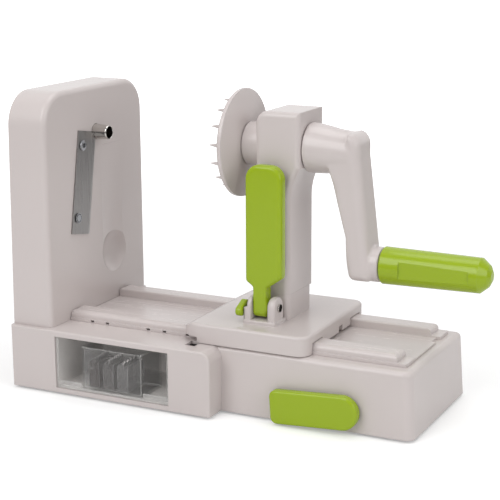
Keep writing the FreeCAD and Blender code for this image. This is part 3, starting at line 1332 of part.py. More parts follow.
def crank_arm():
    """Elbow: a tapering hub that turns down into the arm."""
    body = new_body("crank_arm", x="crank_face", z="axis_height")
    outer = "crank_reach - turn_gap"
    foot = "-(crank_drop + crank_tail)"
    top = "crank_neck_radius - 0.8"
    inner = "%s - crank_top_width" % outer
    toe = "%s + crank_splay" % outer
    prism(body, "XZ", "-crank_side / 2", "crank_side / 2", [
        ("5", top),
        ("5", "-crank_neck_radius + 1"),
        (inner, "-crank_neck_radius + 1"),
        ("%s - crank_foot_width" % toe, foot),
        (toe, foot),
        (outer, "-4"),
        (outer, "%s - crank_bend" % top, "crank_bend"),
        ("%s - crank_bend" % outer, top)])
    ease(body, "crank_inner_bend", lambda e: edge_along(e, "Y")
         and edge_on(e, "Z", "-crank_neck_radius + 1") and edge_middle(e, "X") > 9)
    ease(body, "crank_heel", lambda e: edge_along(e, "Y") and edge_on(e, "Z", foot)
         and edge_middle(e, "X") < number(toe) - 1)
    ease(body, "crank_toe", lambda e: edge_along(e, "Y") and edge_on(e, "X", toe))
    ease(body, "crank_edge", lambda e: (edge_on(e, "Y", "-crank_side / 2")
         or edge_on(e, "Y", "crank_side / 2")) and edge_middle(e, "X") > 4)
    turned(body, "XZ", [
        ("0", "0"),
        ("0", "crank_root_radius"),
        ("14", "crank_neck_radius + 1.2"),
        ("30", "crank_neck_radius - 1.3"),
        ("%s - 8" % outer, "crank_neck_radius - 2.5"),
        ("%s - 8" % outer, "0")], "H_Axis")
    # round seat of the grip, shaft bore and spindle bore
    seat = "%s + seat_length" % toe
    rod(body, "X", "%s - 8" % toe, seat, [("0", "-crank_drop")], "grip_radius - 0.8")
    rod(body, "X", "-1", "26.5", [("0", "0")], "shaft_radius + 0.02", "Pocket")
    rod(body, "X", "%s - 10" % toe, "%s + 1" % seat, [("0", "-crank_drop")],
        "spindle_radius + 0.02", "Pocket")
    return body


def grip_spindle():
    """Steel pin fixed in the arm; the grip turns on it under its head."""
    body = new_body("grip_spindle", x="grip_start", z="axis_height - crank_drop")
    reach = "grip_length * 0.7"
    rod(body, "X", "-13 - grip_gap", reach, [("0", "0")], "spindle_radius")
    rod(body, "X", reach, reach + " + 2", [("0", "0")], "spindle_head")
    return body


def crank_grip():
    """Green grip: slightly tapered, with a domed end and two finger flats."""
    body = new_body("crank_grip", x="grip_start", z="axis_height - crank_drop")
    reach = "grip_length * 0.7"
    dome = "grip_end_radius * 0.62"
    turned(body, "XZ", [
        ("0", "grip_bore"),
        ("0", "grip_radius - 0.8"),
        ("0.8", "grip_radius"),
        ("grip_length - %s" % dome, "grip_end_radius"),
        ("grip_length - 2", "grip_end_radius * 0.62"),
        ("grip_length", "grip_end_radius * 0.3"),
        ("grip_length", "0"),
        ("%s + 2 + 1" % reach, "0"),
        ("%s + 2 + 1" % reach, "spindle_head + 0.5"),
        ("%s - 0.5" % reach, "spindle_head + 0.5"),
        ("%s - 0.5" % reach, "grip_bore")], "H_Axis")
    for side in (-1, 1):
        face = "%d * (grip_radius - flat_depth)" % side
        beyond = "%d * (grip_radius + 2)" % side
        low, high = (beyond, face) if side < 0 else (face, beyond)
        block(body, ("flat_start", "flat_end"), (low, high),
              ("-flat_width / 2", "flat_width / 2"), "Pocket")
    return body


# ---------------------------------------------------------------------------
# Build, check and write
# ---------------------------------------------------------------------------

def build_all():
    base_shell()
    base_plate()
    screw_set("base_screws", "Z", "foot_height", BOSS_SPOTS, 1)
    rubber_feet()
    rail_deck()
    suction_cup()
    suction_stem()
    suction_axle()
    suction_lever()
    axle_block()
    drawer_sleeve()
    blade_drawer()
    insert_box()
    for position, (label, teeth) in enumerate((("fine", 9), ("medium", 6), ("coarse", 4))):
        spare_blade(label, position, teeth)
    tower_shell()
    screw_set("tower_screws", "Z", "tower_floor", TOWER_SCREWS, -1, "base_roof + tower_wall")
    straight_blade()
    blade_screws()
    corer_tube()
    carriage_body()
    carriage_shoes()
    column_body()
    column_cover()
    screw_set("column_screws", "Y", "half_column", COVER_SCREWS, -1, "cover_thick")
    shaft_bushes()
    push_lever()
    lever_pin()
    lock_pawl()
    crank_shaft()
    spiked_disk()
    disk_screw()
    crank_arm()
    grip_spindle()
    crank_grip()
    doc.recompute()


def owner(feature):
    return [piece.Label for piece in PIECES if feature in piece.Group][0]


def check_all():
    problems = []
    for piece in PIECES:
        for item in [piece] + piece.Group:
            if "Invalid" in item.State or "Error" in item.State:
                problems.append("%s: %s is %s" % (piece.Label, item.Name, item.State))
    if problems:
        raise RuntimeError("\n".join(problems))
    for feature in REMOVALS:
        before = feature.BaseFeature.Shape.Volume
        if before - feature.Shape.Volume < 0.01:
            problems.append("%s: %s cuts nothing" % (owner(feature), feature.Name))
    for piece in PIECES:
        if piece.Shape.isNull() or not piece.Shape.isValid():
            problems.append("%s has no valid shape" % piece.Label)
    if problems:
        raise RuntimeError("\n".join(problems))


def write_all():
    os.makedirs("parts", exist_ok=True)
    for piece in PIECES:
        piece.Shape.exportStep("parts/%s.step" % piece.Label)


build_all()
check_all()
write_all()
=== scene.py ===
"""Hand cranked spiralizer: finishes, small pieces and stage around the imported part.

The sizes and colours are properties, each piece or group of like pieces has its own operator,
and the panel in the sidebar lists them in the order in which they run.
"""

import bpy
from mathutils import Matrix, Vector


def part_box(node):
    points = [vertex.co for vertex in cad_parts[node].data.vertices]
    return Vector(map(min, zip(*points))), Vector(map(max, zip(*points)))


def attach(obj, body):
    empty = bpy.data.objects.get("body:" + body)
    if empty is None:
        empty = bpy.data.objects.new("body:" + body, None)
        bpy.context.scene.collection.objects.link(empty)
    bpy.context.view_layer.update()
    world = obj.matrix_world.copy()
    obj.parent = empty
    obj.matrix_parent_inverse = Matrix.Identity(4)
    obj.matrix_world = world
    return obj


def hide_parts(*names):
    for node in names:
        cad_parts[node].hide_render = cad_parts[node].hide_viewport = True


bl_info = {
    "name": "Hand cranked spiralizer",
    "version": (1, 0, 0),
    "blender": (4, 5, 0),
    "location": "3D View > Sidebar > Spiralizer",
    "description": "Finishes, screws, small pieces and stage of a hand cranked spiralizer",
    "category": "Object",
}

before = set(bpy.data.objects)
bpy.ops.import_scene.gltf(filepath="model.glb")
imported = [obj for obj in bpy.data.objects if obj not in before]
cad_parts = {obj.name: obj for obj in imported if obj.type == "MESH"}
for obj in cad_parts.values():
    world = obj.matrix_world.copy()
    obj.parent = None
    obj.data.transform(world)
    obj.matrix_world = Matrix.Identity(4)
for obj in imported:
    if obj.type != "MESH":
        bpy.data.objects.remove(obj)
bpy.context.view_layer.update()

import math

import bmesh
import bpy
from bpy.props import FloatProperty, FloatVectorProperty, IntProperty, PointerProperty
from mathutils import Matrix, Vector


def centre_of(node):
    """The middle of a CAD node in millimetres."""
    low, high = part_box(node)
    return tuple(round((a + b) * 500, 2) for a, b in zip(low, high))


def low_end(node):
    """Where a CAD node starts along X, in millimetres."""
    return round(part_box(node)[0][0] * 1000, 2)


BODY_NODES = ("base_shell", "tower_shell", "carriage_body", "column_body", "column_cover",
              "crank_arm", "spiked_disk")
RAIL_NODES = ("rail_deck",)
LINING_NODES = ("base_plate", "axle_bearings", "suction_stem")
BEARING_NODES = ("carriage_shoes", "shaft_bushes")
GREEN_NODES = ("push_lever", "lock_pawl", "crank_grip", "suction_lever")
# Clear and smoky nodes, each with the share of its flat walls that hides what is behind.
CLEAR_NODES = {"blade_drawer": 0.36, "insert_box": 0.13}
HOLDER_NODES = {"insert_frame_fine": 0.98, "insert_frame_medium": 0.8,
                "insert_frame_coarse": 0.5}
TEETH_NODES = ("insert_teeth_fine", "insert_teeth_medium", "insert_teeth_coarse")
SHINY_NODES = ("crank_shaft", "grip_spindle", "suction_axle")

# Places and sizes in millimetres, in the frame's axes.
AXIS_HEIGHT = centre_of("crank_shaft")[2]
PIN = centre_of("lever_pin")[1:]        # y and z of the push lever's hinge
CARRIAGE_TOP = 65.3
EAR_SIDES = (21.9, 27.5, 41.2, 46.8)    # x of the side faces of the two ears
EAR_ENDS = (-39.3, -22.7)               # y between which the ears stand
LEVER_FOOT = (39.0, 87.5)               # the foot's right side lies beyond x and below z
BLADE_SEAT = -124.0                     # x of the blade's face under its screws
SMALL_SCREW = {"radius": 3.0, "height": 1.6, "shank": 1.4}

STEEL_EDGE = 0.0002                     # rounding of steel edges in metres
SMOKE_LIFT = 0.7                        # how much lighter a see-through holder is
NEAR = 2e-5                             # reach in metres for finding a face of a solid
SORT_WAY = Vector((1.0, 2.2361, 5.1962))    # slanted, so that no two places tie along it


def display(red, green, blue):
    """Linear colour of a display colour given from 0 to 255."""
    return tuple((c / 255 / 12.92) if c <= 10 else ((c / 255 + 0.055) / 1.055) ** 2.4
                 for c in (red, green, blue))


def colour_value(name, description, red, green, blue):
    """Colour property with a display colour as its default."""
    return FloatVectorProperty(name=name, description=description, subtype="COLOR", size=3,
                               min=0, max=1, default=display(red, green, blue))


def length_value(name, description, millimetres):
    """Length property with its default in millimetres."""
    return FloatProperty(name=name, description=description, unit="LENGTH", subtype="DISTANCE",
                         min=0, precision=5, default=millimetres / 1000)


def share_value(name, description, default):
    """Property between 0 and 1."""
    return FloatProperty(name=name, description=description, subtype="FACTOR", min=0, max=1,
                         default=default)


# ---------------------------------------------------------------------------
# Sizes and colours
# ---------------------------------------------------------------------------

class SpiralizerPlastics(bpy.types.PropertyGroup):
    """Colours and gloss of the moulded plastics and the rubber."""
    body: colour_value("Body", "Base, tower, carriage, column and crank", 204, 195, 193)
    lining: colour_value("Lining", "Base plate and axle bearings", 190, 184, 181)
    sleeve: colour_value("Sleeve", "White sleeve that the drawer slides in", 250, 246, 243)
    bearing: colour_value("Bearings", "Bushes and guide shoes", 226, 222, 212)
    green: colour_value("Green", "Levers, pawl and grip", 150, 174, 14)
    clear: colour_value("Clear", "Drawer and blade box", 238, 236, 234)
    holder: colour_value("Holders", "Smoky frames of the spare blades", 78, 69, 67)
    foot: colour_value("Feet", "Rubber feet", 92, 90, 88)
    cup: colour_value("Cup", "Suction cup", 176, 174, 168)
    body_roughness: share_value("Body roughness", "Roughness of the body plastic", 0.24)
    green_roughness: share_value("Green roughness", "Roughness of the green plastic", 0.22)
    edge: length_value("Soft edge", "Rounding of the moulded edges", 0.7)


class SpiralizerMetals(bpy.types.PropertyGroup):
    """Colours and gloss of the steel pieces."""
    blade: colour_value("Blade", "Slicing blade and the teeth", 158, 155, 154)
    shiny: colour_value("Shiny steel", "Coring tube, shaft and pins", 205, 202, 198)
    screw: colour_value("Screws", "Plated screws", 168, 169, 173)
    # Painted shade: the steel inside the tube's bore, the pin's recess and the lower blade screw's
    # groove gets this dark colour.
    bore: colour_value("Bores", "Dark inside of the tube and the pin's recess", 58, 52, 50)
    blade_roughness: share_value("Blade roughness", "Roughness of the ground blade", 0.3)
    shiny_roughness: share_value("Shiny roughness", "Roughness of the polished steel", 0.07)


class SpiralizerPieces(bpy.types.PropertyGroup):
    """Sizes of the pieces that are modelled here."""
    screw_recess: length_value("Screw recess", "Half width of the cross recess", 1.5)
    recess_depth: length_value("Recess depth", "Depth of the cross recess", 1.1)
    clear_edge: length_value("Clear edge", "Rounding of the clear pieces", 0.45)
    ear_edge: length_value("Ear edge", "Rounding of the ears beside the push lever", 1.7)
    ear_slope: length_value("Ear slope", "Rounding of the ears' left sides", 3.6)
    ear_trim: length_value("Ear trim", "How much thinner the left ear is", 2.2)
    ear_growth: length_value("Ear growth", "How much thicker the right ear is", 1.3)
    plinth: length_value("Plinth", "Height of the plinth under the ears", 2.8)
    arm_start: length_value("Arm start", "Place along the crank where its flat arm starts", 91.0)
    squares: length_value("Squares", "Size of the mesh squares of the soft forms", 0.7)
    lever_rounds: IntProperty(name="Lever rounds", description="Smoothing of the push lever",
                              min=0, default=12)
    crank_rounds: IntProperty(name="Crank rounds", description="Smoothing of the crank arm",
                              min=0, default=10)


class SpiralizerStage(bpy.types.PropertyGroup):
    """Camera, lamps and floor."""
    camera_place: FloatVectorProperty(
        name="Camera", description="Place of the camera", subtype="TRANSLATION", unit="LENGTH",
        size=3, default=(0.4546385, -0.9006636, 0.3508456))
    camera_azimuth: FloatProperty(
        name="Azimuth", description="Turn of the camera about the vertical", subtype="ANGLE",
        default=math.radians(26.37))
    camera_pitch: FloatProperty(
        name="Pitch", description="How far the camera looks down", subtype="ANGLE",
        default=math.radians(13.47))
    camera_roll: FloatProperty(
        name="Roll", description="Tilt of the picture", subtype="ANGLE",
        default=math.radians(-0.29))
    lens: FloatProperty(name="Lens", description="Focal length in millimetres on a 36 mm sensor",
                        unit="CAMERA", default=99.0)
    key_power: FloatProperty(name="Key lamp", description="Power of the large soft lamp",
                             unit="POWER", default=16.2)
    top_power: FloatProperty(name="Top lamp", description="Power of the lamp overhead",
                             unit="POWER", default=8.2)
    side_power: FloatProperty(name="Side lamp", description="Power of the lamp at the crank's side",
                              unit="POWER", default=8.0)
    room: share_value("Room light", "Strength of the even light from all round", 0.5)
    dark_side: share_value("Dark side", "Brightness that gloss shows behind the camera", 0.36)
    floor: colour_value("Floor", "Colour of the floor", 232, 232, 232)
    far_floor: colour_value("Far floor", "Colour that gloss shows of the far floor", 70, 68, 68)
    floor_lift: share_value("Floor lift", "Added brightness of the floor's own white", 0.3)


class SpiralizerSettings(bpy.types.PropertyGroup):
    """All sizes and colours of the spiralizer."""
    plastics: PointerProperty(type=SpiralizerPlastics)
    metals: PointerProperty(type=SpiralizerMetals)
    pieces: PointerProperty(type=SpiralizerPieces)
    stage: PointerProperty(type=SpiralizerStage)


# ---------------------------------------------------------------------------
# Shader groups
# ---------------------------------------------------------------------------

def shader_group(name, takes, gives):
    """New group with named inputs (name, kind, default) and outputs (name, kind)."""
    tree = bpy.data.node_groups.new(name, "ShaderNodeTree")
    for label, kind, default in takes:
        socket = tree.interface.new_socket(name=label, in_out="INPUT",
                                           socket_type="NodeSocket" + kind)
        socket.default_value = default
    for label, kind in gives:
        tree.interface.new_socket(name=label, in_out="OUTPUT", socket_type="NodeSocket" + kind)
    start = tree.nodes.new("NodeGroupInput").outputs
    end = tree.nodes.new("NodeGroupOutput").inputs
    return tree, start, end


def fill_in(tree, node, values):
    """Feed a node's inputs: a value that is a socket is linked, any other is set."""
    for key, value in values.items():
        if isinstance(value, bpy.types.NodeSocket):
            tree.links.new(value, node.inputs[key])
        else:
            node.inputs[key].default_value = value
    return node


def place(tree, kind, values=None, **settings):
    """Add a shader node with its settings and values."""
    node = tree.nodes.new("ShaderNode" + kind)
    for key, value in settings.items():
        setattr(node, key, value)
    return fill_in(tree, node, values or {})


def place_group(tree, name, values):
    """Add one of the shader groups with its values."""
    node = tree.nodes.new("ShaderNodeGroup")
    node.node_tree = bpy.data.node_groups[name]
    return fill_in(tree, node, values)


def maths(tree, operation, first, second=0.0, **settings):
    """Add a sum and give its result."""
    return place(tree, "Math", {0: first, 1: second}, operation=operation, **settings).outputs[0]


def make_moulded_skin():
    """Faint clouds in the colour, uneven gloss and the fine grain of a moulding tool."""
    tree, start, end = shader_group("moulded_skin", [
        ("Color", "Color", (0.6, 0.6, 0.6, 1)), ("Mottle", "Float", 0.04),
        ("Roughness", "Float", 0.35), ("Gloss Change", "Float", 0.12),
        ("Grain", "Float", 0.5), ("Grain Scale", "Float", 1500.0)],
        [("Color", "Color"), ("Roughness", "Float"), ("Height", "Float")])
    spot = place(tree, "TexCoord").outputs["Object"]
    cloud = place(tree, "TexNoise", {"Vector": spot, "Scale": 16.0, "Detail": 3.0,
                                     "Roughness": 0.55}).outputs["Fac"]
    shift = maths(tree, "MULTIPLY", maths(tree, "SUBTRACT", cloud, 0.5), start["Mottle"])
    value = maths(tree, "ADD", shift, 1.0)
    tone = place(tree, "HueSaturation", {"Color": start["Color"], "Value": value})
    tree.links.new(tone.outputs[0], end["Color"])
    smear = place(tree, "TexNoise", {"Vector": spot, "Scale": 70.0, "Detail": 4.0,
                                     "Distortion": 1.2}).outputs["Fac"]
    gloss = maths(tree, "MULTIPLY", maths(tree, "SUBTRACT", smear, 0.5), start["Gloss Change"])
    tree.links.new(maths(tree, "ADD", start["Roughness"], gloss, use_clamp=True),
                   end["Roughness"])
    grain = place(tree, "TexNoise", {"Vector": spot, "Scale": start["Grain Scale"],
                                     "Detail": 2.0}).outputs["Fac"]
    tree.links.new(maths(tree, "MULTIPLY", grain, start["Grain"]), end["Height"])


def make_edge_wear_and_glint():
    """Rounded normals along the edges, where the colour is a little lighter and patchy: wear on the
    opaque plastic and steel, a painted highlight on the clear plastics.
    """
    tree, start, end = shader_group("edge_wear_and_glint", [
        ("Color", "Color", (0.6, 0.6, 0.6, 1)), ("Edge Color", "Color", (0.8, 0.8, 0.8, 1)),
        ("Amount", "Float", 0.5), ("Radius", "Float", 0.0007)],
        [("Color", "Color"), ("Normal", "Vector"), ("Edge", "Float")])
    soft = place(tree, "Bevel", {"Radius": start["Radius"]}, samples=6).outputs[0]
    plain = place(tree, "NewGeometry").outputs["Normal"]
    along = place(tree, "VectorMath", {0: soft, 1: plain}, operation="DOT_PRODUCT")
    turn = maths(tree, "SUBTRACT", 1.0, along.outputs["Value"])
    spot = place(tree, "TexCoord").outputs["Object"]
    patch = place(tree, "TexNoise", {"Vector": spot, "Scale": 220.0, "Detail": 3.0}).outputs["Fac"]
    mask = place(tree, "MapRange", {"Value": turn, "From Min": 0.01, "From Max": 0.22})
    amount = maths(tree, "MULTIPLY", maths(tree, "MULTIPLY", mask.outputs[0], patch),
                   start["Amount"], use_clamp=True)
    mixed = place(tree, "Mix", {0: amount, 6: start["Color"], 7: start["Edge Color"]},
                  data_type="RGBA")
    tree.links.new(mixed.outputs[2], end["Color"])
    tree.links.new(soft, end["Normal"])
    tree.links.new(mask.outputs[0], end["Edge"])


def make_slide_marks():
    """Fine straight marks along X, where a sliding piece has rubbed."""
    tree, start, end = shader_group("slide_marks", [
        ("Color", "Color", (0.6, 0.6, 0.6, 1)), ("Roughness", "Float", 0.35),
        ("Depth", "Float", 0.5)],
        [("Color", "Color"), ("Roughness", "Float"), ("Height", "Float")])
    spot = place(tree, "TexCoord").outputs["Object"]
    drawn = place(tree, "Mapping", {"Vector": spot, "Scale": (9.0, 900.0, 900.0)})
    lines = place(tree, "TexNoise", {"Vector": drawn.outputs[0], "Scale": 1.0,
                                     "Detail": 3.0}).outputs["Fac"]
    strong = place(tree, "MapRange", {"Value": lines, "From Min": 0.52, "From Max": 0.75})
    marks = maths(tree, "MULTIPLY", strong.outputs[0], start["Depth"])
    tone = maths(tree, "SUBTRACT", 1.0, maths(tree, "MULTIPLY", marks, 0.1))
    shade = place(tree, "HueSaturation", {"Color": start["Color"], "Value": tone})
    tree.links.new(shade.outputs[0], end["Color"])
    tree.links.new(maths(tree, "ADD", start["Roughness"], maths(tree, "MULTIPLY", marks, 0.12)),
                   end["Roughness"])
    tree.links.new(maths(tree, "MULTIPLY", marks, -1.0), end["Height"])


def make_drawn_steel():
    """Fine grinding lines in one direction, with faint stains."""
    tree, start, end = shader_group("drawn_steel", [
        ("Color", "Color", (0.6, 0.6, 0.6, 1)), ("Roughness", "Float", 0.3),
        ("Lines", "Float", 0.3), ("Stretch", "Vector", (900.0, 900.0, 20.0))],
        [("Color", "Color"), ("Roughness", "Float"), ("Height", "Float")])
    spot = place(tree, "TexCoord").outputs["Object"]
    drawn = place(tree, "Mapping", {"Vector": spot, "Scale": start["Stretch"]})
    lines = place(tree, "TexNoise", {"Vector": drawn.outputs[0], "Scale": 1.0,
                                     "Detail": 4.0}).outputs["Fac"]
    stain = place(tree, "TexNoise", {"Vector": spot, "Scale": 90.0, "Detail": 3.0,
                                     "Distortion": 0.8}).outputs["Fac"]
    change = maths(tree, "MULTIPLY", maths(tree, "SUBTRACT", lines, 0.5), start["Lines"])
    cloud = maths(tree, "MULTIPLY", maths(tree, "SUBTRACT", stain, 0.5), 0.12)
    value = maths(tree, "ADD", maths(tree, "ADD", change, cloud), 1.0)
    tone = place(tree, "HueSaturation", {"Color": start["Color"], "Value": value})
    tree.links.new(tone.outputs[0], end["Color"])
    rough = maths(tree, "ADD", start["Roughness"], maths(tree, "MULTIPLY", change, 0.6),
                  use_clamp=True)
    tree.links.new(rough, end["Roughness"])
    tree.links.new(maths(tree, "MULTIPLY", lines, start["Lines"]), end["Height"])


# ---------------------------------------------------------------------------
# Materials
# ---------------------------------------------------------------------------

def new_material(name):
    """New material with its node tree and its Principled BSDF."""
    material = bpy.data.materials.new(name)
    material.use_nodes = True
    tree = material.node_tree
    return material, tree, tree.nodes["Principled BSDF"]


def lighter(colour, share):
    """The colour moved towards white by a share."""
    return tuple(c + (1 - c) * share for c in colour)


def opaque(colour):
    """The colour with full alpha, as colour sockets take it."""
    return tuple(colour) + (1.0,)


def moulded(name, colour, roughness, mottle=0.05, grain=0.5, wear=0.5, radius=0.0007,
            bump=0.00002, slides=False):
    """Moulded plastic: clouds, tool grain, soft worn edges and, on rails, slide marks."""
    material, tree, shader = new_material(name)
    skin = place_group(tree, "moulded_skin", {
        "Color": opaque(colour), "Mottle": mottle, "Roughness": roughness,
        "Grain": grain}).outputs
    tone, gloss, height = skin["Color"], skin["Roughness"], skin["Height"]
    if slides:
        marks = place_group(tree, "slide_marks", {"Color": tone, "Roughness": gloss}).outputs
        tone, gloss = marks["Color"], marks["Roughness"]
        height = maths(tree, "ADD", height, marks["Height"])
    edges = place_group(tree, "edge_wear_and_glint", {
        "Color": tone, "Edge Color": opaque(lighter(colour, 0.3)), "Amount": wear,
        "Radius": radius}).outputs
    relief = place(tree, "Bump", {"Height": height, "Normal": edges["Normal"],
                                  "Strength": 0.6, "Distance": bump})
    tree.links.new(edges["Color"], shader.inputs["Base Color"])
    tree.links.new(gloss, shader.inputs["Roughness"])
    tree.links.new(relief.outputs[0], shader.inputs["Normal"])
    return material


def steel(name, colour, roughness, lines, stretch):
    """Bare steel with grinding lines; stretch is how fine they are along each axis."""
    material, tree, shader = new_material(name)
    drawn = place_group(tree, "drawn_steel", {
        "Color": opaque(colour), "Roughness": roughness, "Lines": lines,
        "Stretch": stretch}).outputs
    edges = place_group(tree, "edge_wear_and_glint", {
        "Color": drawn["Color"], "Edge Color": opaque(lighter(colour, 0.5)), "Amount": 0.8,
        "Radius": STEEL_EDGE}).outputs
    relief = place(tree, "Bump", {"Height": drawn["Height"], "Normal": edges["Normal"],
                                  "Strength": 0.5, "Distance": 0.000015})
    tree.links.new(edges["Color"], shader.inputs["Base Color"])
    tree.links.new(drawn["Roughness"], shader.inputs["Roughness"])
    tree.links.new(relief.outputs[0], shader.inputs["Normal"])
    shader.inputs["Metallic"].default_value = 1.0
    return material


def clear_moulded(name, colour, veil):
    """Clear hard plastic: its flat walls are seen through, and its edges are drawn nearly solid in
    white as a painted highlight.
    """
    material, tree, shader = new_material(name)
    skin = place_group(tree, "moulded_skin", {
        "Color": opaque(colour), "Mottle": 0.04, "Roughness": 0.05,
        "Gloss Change": 0.06, "Grain": 0.3, "Grain Scale": 60.0}).outputs
    # Painted highlight: the edges are coloured white.
    edges = place_group(tree, "edge_wear_and_glint", {
        "Color": skin["Color"], "Edge Color": (1, 1, 1, 1), "Amount": 1.0,
        "Radius": 0.0011}).outputs
    relief = place(tree, "Bump", {"Height": skin["Height"], "Strength": 0.2,
                                  "Distance": 0.0003})
    tree.links.new(edges["Color"], shader.inputs["Base Color"])
    tree.links.new(skin["Roughness"], shader.inputs["Roughness"])
    tree.links.new(relief.outputs[0], shader.inputs["Normal"])
    path = place(tree, "LightPath").outputs
    through = maths(tree, "MAXIMUM", path["Is Shadow Ray"], path["Is Diffuse Ray"])
    # Painted highlight: the white edges are drawn nearly solid, and the flat walls only by their
    # veil.
    seen = place(tree, "MapRange", {"Value": edges["Edge"], "From Max": 0.25, "To Min": veil,
                                    "To Max": 0.98}).outputs[0]
    solid = place(tree, "Mix", {0: through, 2: seen, 3: 0.03}, data_type="FLOAT").outputs[0]
    tree.links.new(solid, shader.inputs["Alpha"])
    shader.inputs["Transmission Weight"].default_value = 0.6
    shader.inputs["IOR"].default_value = 1.3
    return material


def dress(names, material):
    """Give CAD nodes a material in each of their slots."""
    for name in names:
        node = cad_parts[name]
        if not node.material_slots:
            raise RuntimeError("no material slot on " + name)
        for slot in node.material_slots:
            slot.material = material


# ---------------------------------------------------------------------------
# Small modelling helpers
# ---------------------------------------------------------------------------

def mm(*values):
    """Millimetres in Blender's metres."""
    return tuple(v / 1000 for v in values)


def shell_copy(node):
    """A CAD node's mesh with its loose triangles merged."""
    mesh = bmesh.new()
    mesh.from_mesh(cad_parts[node].data)
    bmesh.ops.remove_doubles(mesh, verts=mesh.verts, dist=1e-6)
    return mesh


def solids_of(node):
    """Low corner, high corner and middle in millimetres of each solid of a CAD node."""
    mesh = shell_copy(node)
    boxes, seen = [], set()
    for first in mesh.verts:
        if first in seen:
            continue
        solid, waiting = {first}, [first]
        while waiting:
            vert = waiting.pop()
            near = {edge.other_vert(vert) for edge in vert.link_edges} - solid
            solid |= near
            waiting.extend(near)
        seen |= solid
        low, high = ([pick(v.co[axis] for v in solid) * 1000 for axis in range(3)]
                     for pick in (min, max))
        corners = (low, high, [(a + b) / 2 for a, b in zip(low, high)])
        boxes.append([[round(value, 2) for value in corner] for corner in corners])
    mesh.free()
    return sorted(boxes)


def flat_faces(mesh):
    """Join the triangles of each flat face, so that edges can be rounded."""
    bmesh.ops.dissolve_limit(mesh, angle_limit=math.radians(0.6), verts=mesh.verts,
                             edges=mesh.edges, delimit={"NORMAL"})


def round_edges(mesh, edges, width, segments=3):
    """Round edges by a width in metres."""
    bmesh.ops.bevel(mesh, geom=list(edges), offset=width, offset_type="OFFSET",
                    segments=segments, profile=0.5, affect="EDGES", clamp_overlap=True,
                    material=-1)


def sharp_edges(mesh, degrees=30):
    """Edges whose two faces turn by more than some degrees."""
    limit = math.radians(degrees)
    return [edge for edge in mesh.edges
            if len(edge.link_faces) == 2 and edge.calc_face_angle(0.0) > limit]


def in_order(mesh):
    """Sort a mesh by place, because merging leaves its elements in a changing order."""
    mesh.verts.sort(key=lambda vert: vert.co.dot(SORT_WAY))
    mesh.edges.sort(key=lambda edge: (edge.verts[0].co + edge.verts[1].co).dot(SORT_WAY))
    mesh.faces.sort(key=lambda face: face.calc_center_median().dot(SORT_WAY))


def turned(mesh, profile, steps=48):
    """Turn a profile of (place along X, radius) in millimetres about the X axis."""
    verts = [mesh.verts.new(mm(along, 0.0, radius)) for along, radius in profile]
    edges = [mesh.edges.new(pair) for pair in zip(verts, verts[1:])]
    bmesh.ops.spin(mesh, geom=verts + edges, cent=(0, 0, 0), axis=(1, 0, 0), dvec=(0, 0, 0),
                   angle=math.tau, steps=steps, use_merge=True)
    bmesh.ops.remove_doubles(mesh, verts=mesh.verts, dist=1e-7)


def soften(mesh, squares, rounds):
    """Remake a closed mesh in small even squares and smooth them."""
    in_order(mesh)
    data = bpy.data.meshes.new("rough_form")
    mesh.to_mesh(data)
    mesh.free()
    form = bpy.data.objects.new("rough_form", data)
    bpy.context.scene.collection.objects.link(form)
    remesh = form.modifiers.new("squares", "REMESH")
    remesh.mode = "VOXEL"
    remesh.voxel_size = squares
    soft = bmesh.new()
    soft.from_object(form, bpy.context.evaluated_depsgraph_get())
    bpy.data.objects.remove(form)
    bpy.data.meshes.remove(data)
    for _ in range(rounds):
        bmesh.ops.smooth_vert(soft, verts=soft.verts, factor=0.5, use_axis_x=True,
                              use_axis_y=True, use_axis_z=True)
    return soft


def block(mesh, low, high):
    """A block between two corners in millimetres; gives its vertices."""
    verts = bmesh.ops.create_cube(mesh, size=1.0)["verts"]
    bmesh.ops.scale(mesh, verts=verts, vec=mm(*(b - a for a, b in zip(low, high))))
    bmesh.ops.translate(mesh, verts=verts, vec=mm(*((a + b) / 2 for a, b in zip(low, high))))
    return verts


def cut_away(mesh, point, normal, inner=True):
    """Cut a closed mesh by a plane in millimetres, drop one side and close the cut."""
    cut = bmesh.ops.bisect_plane(mesh, geom=mesh.verts[:] + mesh.edges[:] + mesh.faces[:],
                                 plane_co=mm(*point), plane_no=normal, clear_inner=inner,
                                 clear_outer=not inner)["geom_cut"]
    rim = [item for item in cut if isinstance(item, bmesh.types.BMEdge)]
    bmesh.ops.holes_fill(mesh, edges=rim, sides=0)


def pour(mesh, part):
    """Add a closed form to another mesh."""
    bmesh.ops.recalc_face_normals(part, faces=part.faces)
    data = bpy.data.meshes.new("part")
    part.to_mesh(data)
    part.free()
    mesh.from_mesh(data)
    bpy.data.meshes.remove(data)


def paint_recess_shade(mesh, inside):
    """Give the second material, a painted shade, to the faces whose place along X and radius are
    inside.
    """
    for face in mesh.faces:
        middle = face.calc_center_median() * 1000
        face.material_index = int(inside(middle.x, math.hypot(middle.y, middle.z)))


def recess_in(mesh, ring, half, depth, top):
    """Close a ring of edges with a flat that has a cross recess, top upwards along Z."""
    grid = bmesh.ops.create_grid(mesh, x_segments=3, y_segments=3, size=half,
                                 matrix=Matrix.Translation((0, 0, top)))["verts"]
    cells = list(dict.fromkeys(face for vert in grid for face in vert.link_faces))
    rim = [edge for edge in dict.fromkeys(e for v in grid for e in v.link_edges)
           if len(edge.link_faces) == 1]
    bmesh.ops.bridge_loops(mesh, edges=rim + list(ring))
    cross = [face for face in cells
             if min(abs(face.calc_center_median().x), abs(face.calc_center_median().y)) < half / 4]
    pushed = bmesh.ops.extrude_face_region(mesh, geom=cross)["geom"]
    moved = [item for item in pushed if isinstance(item, bmesh.types.BMVert)]
    bmesh.ops.delete(mesh, geom=[face for face in cross if face.is_valid], context="FACES")
    bmesh.ops.delete(mesh, geom=[e for e in mesh.edges if not e.link_faces], context="EDGES")
    bmesh.ops.scale(mesh, verts=moved, vec=(0.62, 0.62, 1.0))
    bmesh.ops.translate(mesh, verts=moved, vec=(0, 0, -depth))


